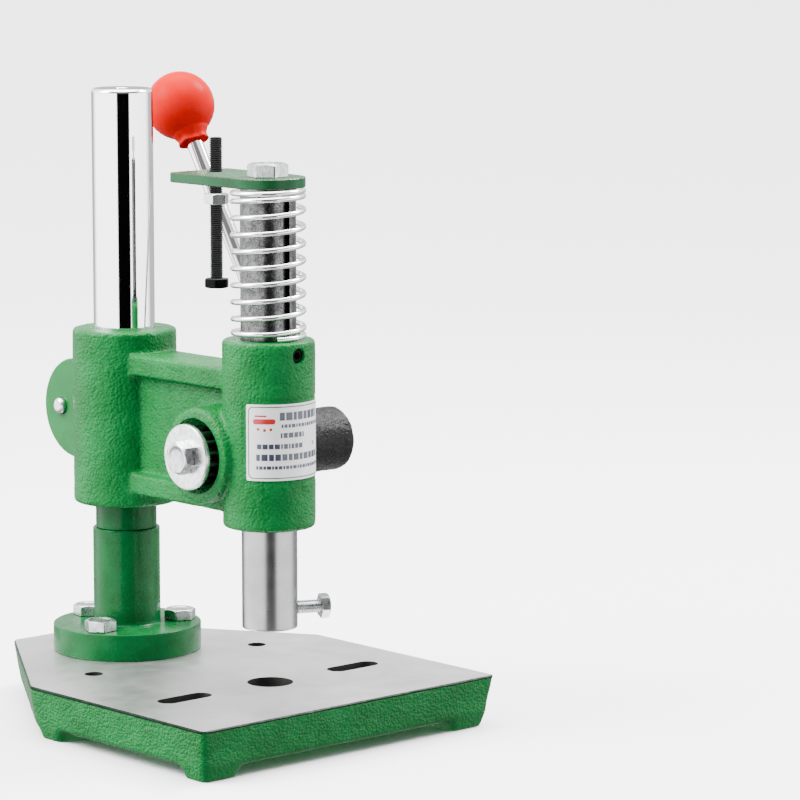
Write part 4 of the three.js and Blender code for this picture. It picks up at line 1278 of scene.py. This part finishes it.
RACK = {"low": 133.0, "high": 238.0, "tip": 14.7, "line": 13.0, "root": 10.7}
KEYWAY = {"half": 2.5, "depth": 3.0, "bottom": 217.0}
DIE_BORE = {"radius": 8.0, "depth": 28.0, "drill_point": 32.0}
DIE_SCREW = {"bearing": 65, "length": 20, "end": 35}
SCREW_HOLE = 4.15
DULL_LINE = 180.0  # above this the ram keeps the oily skin that its guide never wipes
# The die screw's direction: +Z becomes straight out of the ram's side.
DIE_SCREW_FRAME = shift(0, RAM_Y, DIE_SCREW_Z) @ turn(DIE_SCREW["bearing"], "Z") @ turn(90, "X")


def rack_tool():
    """What is milled off the ram's back: the flat over the teeth and the gaps between them."""
    pitch = math.pi * MODULE
    slope = math.tan(PRESSURE_ANGLE)
    tip, root = RACK["tip"], RACK["root"]
    wide = pitch / 4 + 0.1 + (tip - RACK["line"]) * slope
    narrow = pitch / 4 + 0.1 - (RACK["line"] - root) * slope
    first = math.ceil((RACK["low"] - PINION_Z) / pitch)
    last = math.floor((RACK["high"] - PINION_Z) / pitch) - 1
    outline = [(RAM_RADIUS + 2, RACK["low"] - pitch), (tip, RACK["low"] - pitch)]
    for i in range(first, last + 1):
        z = PINION_Z + (i + 0.5) * pitch
        outline += [(tip, z - wide), (root, z - narrow), (root, z + narrow), (tip, z + wide)]
    outline += [(tip, RACK["high"]), (RAM_RADIUS + 2, RACK["high"])]
    return across(outline, RAM_RADIUS + 2)


def make_ram():
    r, bore = RAM_RADIUS, DIE_BORE["radius"]
    profile = rounded([
        (0.01, RAM_BOTTOM + DIE_BORE["drill_point"], 0), (bore, RAM_BOTTOM + DIE_BORE["depth"], 0.5),
        (bore, RAM_BOTTOM, 0.6), (r, RAM_BOTTOM, 1.0), (r, DULL_LINE, 0), (r, RAM_TOP, 1.0),
        (0.01, RAM_TOP, 0),
    ])
    ram = turned("ram", profile, 192)
    half, depth = KEYWAY["half"], KEYWAY["depth"]
    cut(ram, rack_tool(), block(-half, half, -r - 2, -r + depth, KEYWAY["bottom"], RAM_TOP + 2))
    place(ram, shift(0, RAM_Y, 0))
    hole = turned("drill", [(SCREW_HOLE + 0.85, r + 1), (SCREW_HOLE, r - 0.6), (SCREW_HOLE, 3)], 64)
    cut(ram, place(hole, DIE_SCREW_FRAME))
    paint_faces(ram, lambda centre, normal: 1 if centre.z > DULL_LINE else 0)
    finished(ram, "ram_bar", "ram", [RAM_STEEL, RAM_OILY], ["ram"], crease=25)


def make_die_screw():
    screw = hex_bolt(M8, DIE_SCREW["length"], dish=0.7, threaded=True)
    place(screw, DIE_SCREW_FRAME @ shift(0, 0, DIE_SCREW["end"] - M8["head"]) @ turn(10, "Z"))
    plated(screw, "die_hex_screw", "die_screw", HEAD_ZINC, "ram_clamp_screw")


STOP_PLATE = {"half": 21.5, "reach": 62.0, "ram_hole": 6.3, "bolt_hole": 4.1}
WEAR = {"ground": 0.15, "rim": 0.42, "width": 2.0, "depth": 0.9}


def plate_outline(inset):
    half, reach = STOP_PLATE["half"] - inset, STOP_PLATE["reach"] - inset
    corner = round_corners([(0.0, 0.0), (half, 0.0), (half, reach), (-half, reach), (-half, 0.0)], 1.2, 4)
    square = [tuple(p) for p in corner if p[1] > reach - 3]
    return np.array(arc(0, 0, half, -180, 0, 64) + square)


def wear_at(x, y, z):
    """How far the plate's enamel is worn at a point: most on its rims, and less across its faces."""
    edge = min(STOP_PLATE["half"] - math.hypot(x, min(y, 0.0)), STOP_PLATE["reach"] - y)
    rim = max(0.0, 1 - edge / WEAR["width"])
    skin = max(0.0, 1 - min(z - PLATE_BOTTOM, PLATE_TOP - z) / WEAR["depth"])
    return WEAR["ground"] + WEAR["rim"] * rim * skin


def make_stop_plate():
    z0, z1 = PLATE_BOTTOM, PLATE_TOP
    levels = [(8, z0), (1.6, z0), (0.45, z0), (0.0, z0 + 0.45), (0.0, z0 + 1.2)]
    levels += [(0.0, z1 - 1.2), (0.0, z1 - 0.45), (0.45, z1), (1.6, z1), (8, z1)]
    plate = ring_solid("plate", [at_height(plate_outline(inset), z) for inset, z in levels])
    cut(plate, drill(STOP_PLATE["ram_hole"], z0 - 1, z1 + 1))
    cut(plate, drill(STOP_PLATE["bolt_hole"], z0 - 1, z1 + 1, 0, STOP_Y - RAM_Y))
    wear = plate.data.attributes.new("wear", "FLOAT", "POINT")
    wear.data.foreach_set("value", [wear_at(*p) for p in vectors_of(plate.data, "co") / MM])
    place(plate, shift(0, RAM_Y, 0))
    finished(plate, "ram_stop_plate", "ram", [WORN_GREEN], ["stop_plate"])
    bolt = hex_bolt(TOP_BOLT, 20, dish=1.2)
    place(bolt, shift(0, RAM_Y, z1 + 0.1) @ turn(11, "Z"))
    plated(bolt, "ram_top_hex_bolt", "ram", HEAD_ZINC, "ram_top_bolt")


def make_stop_bolt():
    bottom, top = low("stop_bolt").z, high("stop_bolt").z
    bolt = hex_bolt(M8, top - bottom - M8["head"], dish=0.5, threaded=True)
    place(bolt, shift(0, STOP_Y, bottom + M8["head"]) @ turn(180, "X") @ turn(17, "Z"))
    finished(bolt, "stop_screw_black", "stop_screw", [BLACK_OXIDE], ["stop_bolt"], crease=40)
    nut_bottom, nut_top = low("stop_lock_nut").z, high("stop_lock_nut").z
    nut = hex_head(M8["flats"], nut_top - nut_bottom, bore=M8["radius"] + 0.05)
    place(nut, shift(0, STOP_Y, nut_bottom) @ turn(35, "Z"))
    plated(nut, "stop_lock_nut_zinc", "stop_screw", ZINC, "stop_lock_nut")


SPRING = {"mean": 20.2, "wire": 1.55, "turns": 10.2, "closed_low": 1.0, "closed_high": 1.25, "start": -116.5}
SPRING_GRIND = 0.25


def spring_height(turns):
    """Height of the wire's centre: closed end turns lie on each other and the rest are evenly spaced."""
    low_z = CASING_TOP + 0.1 + SPRING["wire"]
    high_z = PLATE_BOTTOM - SPRING["wire"] - 0.1
    rise = 2 * SPRING["wire"] + 0.15
    knots = [0, SPRING["closed_low"], SPRING["turns"] - SPRING["closed_high"], SPRING["turns"]]
    heights = [low_z, low_z + SPRING["closed_low"] * rise, high_z - SPRING["closed_high"] * rise, high_z]
    return np.interp(turns, knots, heights)


def make_spring():
    """A closed and ground compression spring: the end turns are cut flat where they bear."""
    last, mean, wire = SPRING["turns"], SPRING["mean"], SPRING["wire"]
    turns = np.linspace(0, last, int(last * 56) + 1)
    nearby = [spring_height(np.clip(turns + d, 0, last)) for d in np.linspace(-0.12, 0.12, 13)]
    section = angles_of(20)
    out, up = mean + wire * np.cos(section), wire * np.sin(section)
    rings = []
    for a, z in zip(turns * TAU + math.radians(SPRING["start"]), np.mean(nearby, axis=0)):
        rings.append(np.stack([out * math.cos(a), RAM_Y + out * math.sin(a), z + up], axis=1))
    rings = np.array(rings)
    rings[..., 2] = np.clip(rings[..., 2], CASING_TOP + SPRING_GRIND, PLATE_BOTTOM - SPRING_GRIND)
    spring = ring_solid("spring", rings)
    finished(spring, "return_coil_spring", "arm", [SPRING_WIRE], ["return_spring"])
    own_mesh(spring)


# ---------------------------------------------------------------- stage

CAMERA = {"azimuth": -42.23, "elevation": 8.15, "distance": 2220.0, "lens": 171.5}
CAMERA_TARGET = (85.3, -79.1, 187.9)
# Brightness of the studio by bearing round the press, in degrees to the right of the camera.
LOW_WALLS = [
    (-180, 0.8), (-135, 0.9), (-112, 5.6), (-17.5, 5.6), (-15, 0.002), (29.5, 0.002), (32, 5.0), (100, 4.5),
    (122, 0.9), (180, 0.8),
]
HIGH_WALLS = [
    (-180, 1.2), (-140, 3.0), (-120, 4.2), (-65, 4.2), (-40, 0.3), (60, 0.2), (85, 2.6), (125, 2.6),
    (180, 1.2),
]
BRIGHTEST_WALL = 10.0
CEILING = 11.0
GROUND = 0.8
BACKDROP = 3.0
# The rise over which the low walls give way to the high ones, the walls to the ceiling and to the ground.
WALL_SEAM = (-0.03, 0.06)
CEILING_SEAM = (0.75, 0.92)
GROUND_SEAM = (-0.24, -0.34)


def seen_from(azimuth, elevation):
    """The direction from the press to something at this bearing and rise in degrees."""
    a, e = math.radians(azimuth), math.radians(elevation)
    return Vector((math.sin(a) * math.cos(e), -math.cos(a) * math.cos(e), math.sin(e)))


def set_up(name, data, place_of, back):
    """Stands a camera or a light at its place, looking against the given direction."""
    thing = bpy.data.objects.new(name, data)
    thing.location = place_of
    thing.rotation_mode = "QUATERNION"
    thing.rotation_quaternion = (-back).to_track_quat("-Z", "Y")
    bpy.context.scene.collection.objects.link(thing)
    return thing


def make_camera():
    data = bpy.data.cameras.new("camera")
    data.lens = CAMERA["lens"]
    data.sensor_width = 36.0
    data.clip_start = 0.05
    data.clip_end = 50.0
    back = seen_from(CAMERA["azimuth"], CAMERA["elevation"])
    target = Vector(CAMERA_TARGET)
    bpy.context.scene.camera = set_up("camera", data, (target + back * CAMERA["distance"]) * MM, back)


def make_floor():
    outline = [(20 * math.cos(a), 20 * math.sin(a), -0.0004) for a in angles_of(96)]
    mesh = bpy.data.meshes.new("floor")
    mesh.from_pydata(outline, [], [tuple(range(96))])
    mesh.materials.append(Look("floor_white", (0.93, 0.93, 0.935), 0.55).material)
    floor = link("floor", mesh)
    floor.visible_glossy = False
    floor.visible_diffuse = False


def make_light(name, azimuth, elevation, distance, size, power):
    """A square soft box that faces the press."""
    data = bpy.data.lights.new(name, "AREA")
    data.shape = "RECTANGLE"
    data.size = size
    data.size_y = size
    data.energy = power
    back = seen_from(azimuth, elevation)
    set_up(name, data, Vector((0, 0, 0.2)) + back * distance, back)


class Studio:
    """The world's node tree: walls whose brightness depends on where they stand, and a ceiling."""

    def __init__(self, world):
        world.use_nodes = True
        self.tree = world.node_tree
        self.direction = self.add("ShaderNodeTexCoord").outputs["Generated"]

    def add(self, kind):
        return self.tree.nodes.new(kind)

    def join(self, source, target):
        self.tree.links.new(source, target)

    def along(self, vector):
        node = self.add("ShaderNodeVectorMath")
        node.operation = "DOT_PRODUCT"
        node.inputs[1].default_value = vector
        self.join(self.direction, node.inputs[0])
        return node.outputs["Value"]

    def spread(self, value, ends):
        node = self.add("ShaderNodeMapRange")
        node.inputs["From Min"].default_value, node.inputs["From Max"].default_value = ends
        self.join(value, node.inputs["Value"])
        return node.outputs["Result"]

    def walls(self, share, stops):
        node = self.add("ShaderNodeValToRGB")
        shares = [((degrees + 180) / 360, power / BRIGHTEST_WALL) for degrees, power in stops]
        fill_ramp(node.color_ramp, shares)
        self.join(share, node.inputs["Fac"])
        return self.light(BRIGHTEST_WALL, node.outputs["Color"])

    def light(self, power, color=None):
        node = self.add("ShaderNodeBackground")
        node.inputs["Color"].default_value = (1, 1, 1, 1)
        node.inputs["Strength"].default_value = power
        if color is not None:
            self.join(color, node.inputs["Color"])
        return node.outputs["Background"]

    def blend(self, factor, first, second):
        node = self.add("ShaderNodeMixShader")
        for source, target in zip((factor, first, second), node.inputs):
            self.join(source, target)
        return node.outputs["Shader"]


def make_world():
    """A bright studio with one dark wall behind the camera, which the chrome shows as a stripe."""
    world = bpy.data.worlds.new("studio")
    studio = Studio(world)
    a = math.radians(CAMERA["azimuth"])
    bearing = studio.add("ShaderNodeMath")
    bearing.operation = "ARCTAN2"
    studio.join(studio.along((math.cos(a), math.sin(a), 0)), bearing.inputs[0])
    studio.join(studio.along((math.sin(a), -math.cos(a), 0)), bearing.inputs[1])
    share = studio.spread(bearing.outputs["Value"], (-math.pi, math.pi))
    rise = studio.along((0, 0, 1))
    low_walls, high_walls = studio.walls(share, LOW_WALLS), studio.walls(share, HIGH_WALLS)
    walls = studio.blend(studio.spread(rise, WALL_SEAM), low_walls, high_walls)
    room = studio.blend(studio.spread(rise, CEILING_SEAM), walls, studio.light(CEILING))
    room = studio.blend(studio.spread(rise, GROUND_SEAM), room, studio.light(GROUND))
    seen_straight = studio.add("ShaderNodeLightPath").outputs["Is Camera Ray"]
    seen = studio.blend(seen_straight, room, studio.light(BACKDROP))
    studio.join(seen, world.node_tree.nodes["World Output"].inputs["Surface"])
    bpy.context.scene.world = world


make_camera()
make_world()
make_floor()
make_light("key", -120, 40, distance=2.2, size=1.2, power=120)
make_light("hub_light", 78, 47, distance=1.6, size=0.5, power=50)

make_base()
make_flange()
make_column()
make_arm()
make_clamp_bolt()
make_guide_screw()
make_label()
make_pinion()
make_hub()
make_lever()
make_ram()
make_die_screw()
make_stop_plate()
make_stop_bolt()
make_spring()
for slim in ("stop_screw_black", "stop_lock_nut_zinc", "ram_stop_plate", "return_coil_spring"):
    bpy.data.objects[slim].visible_glossy = False
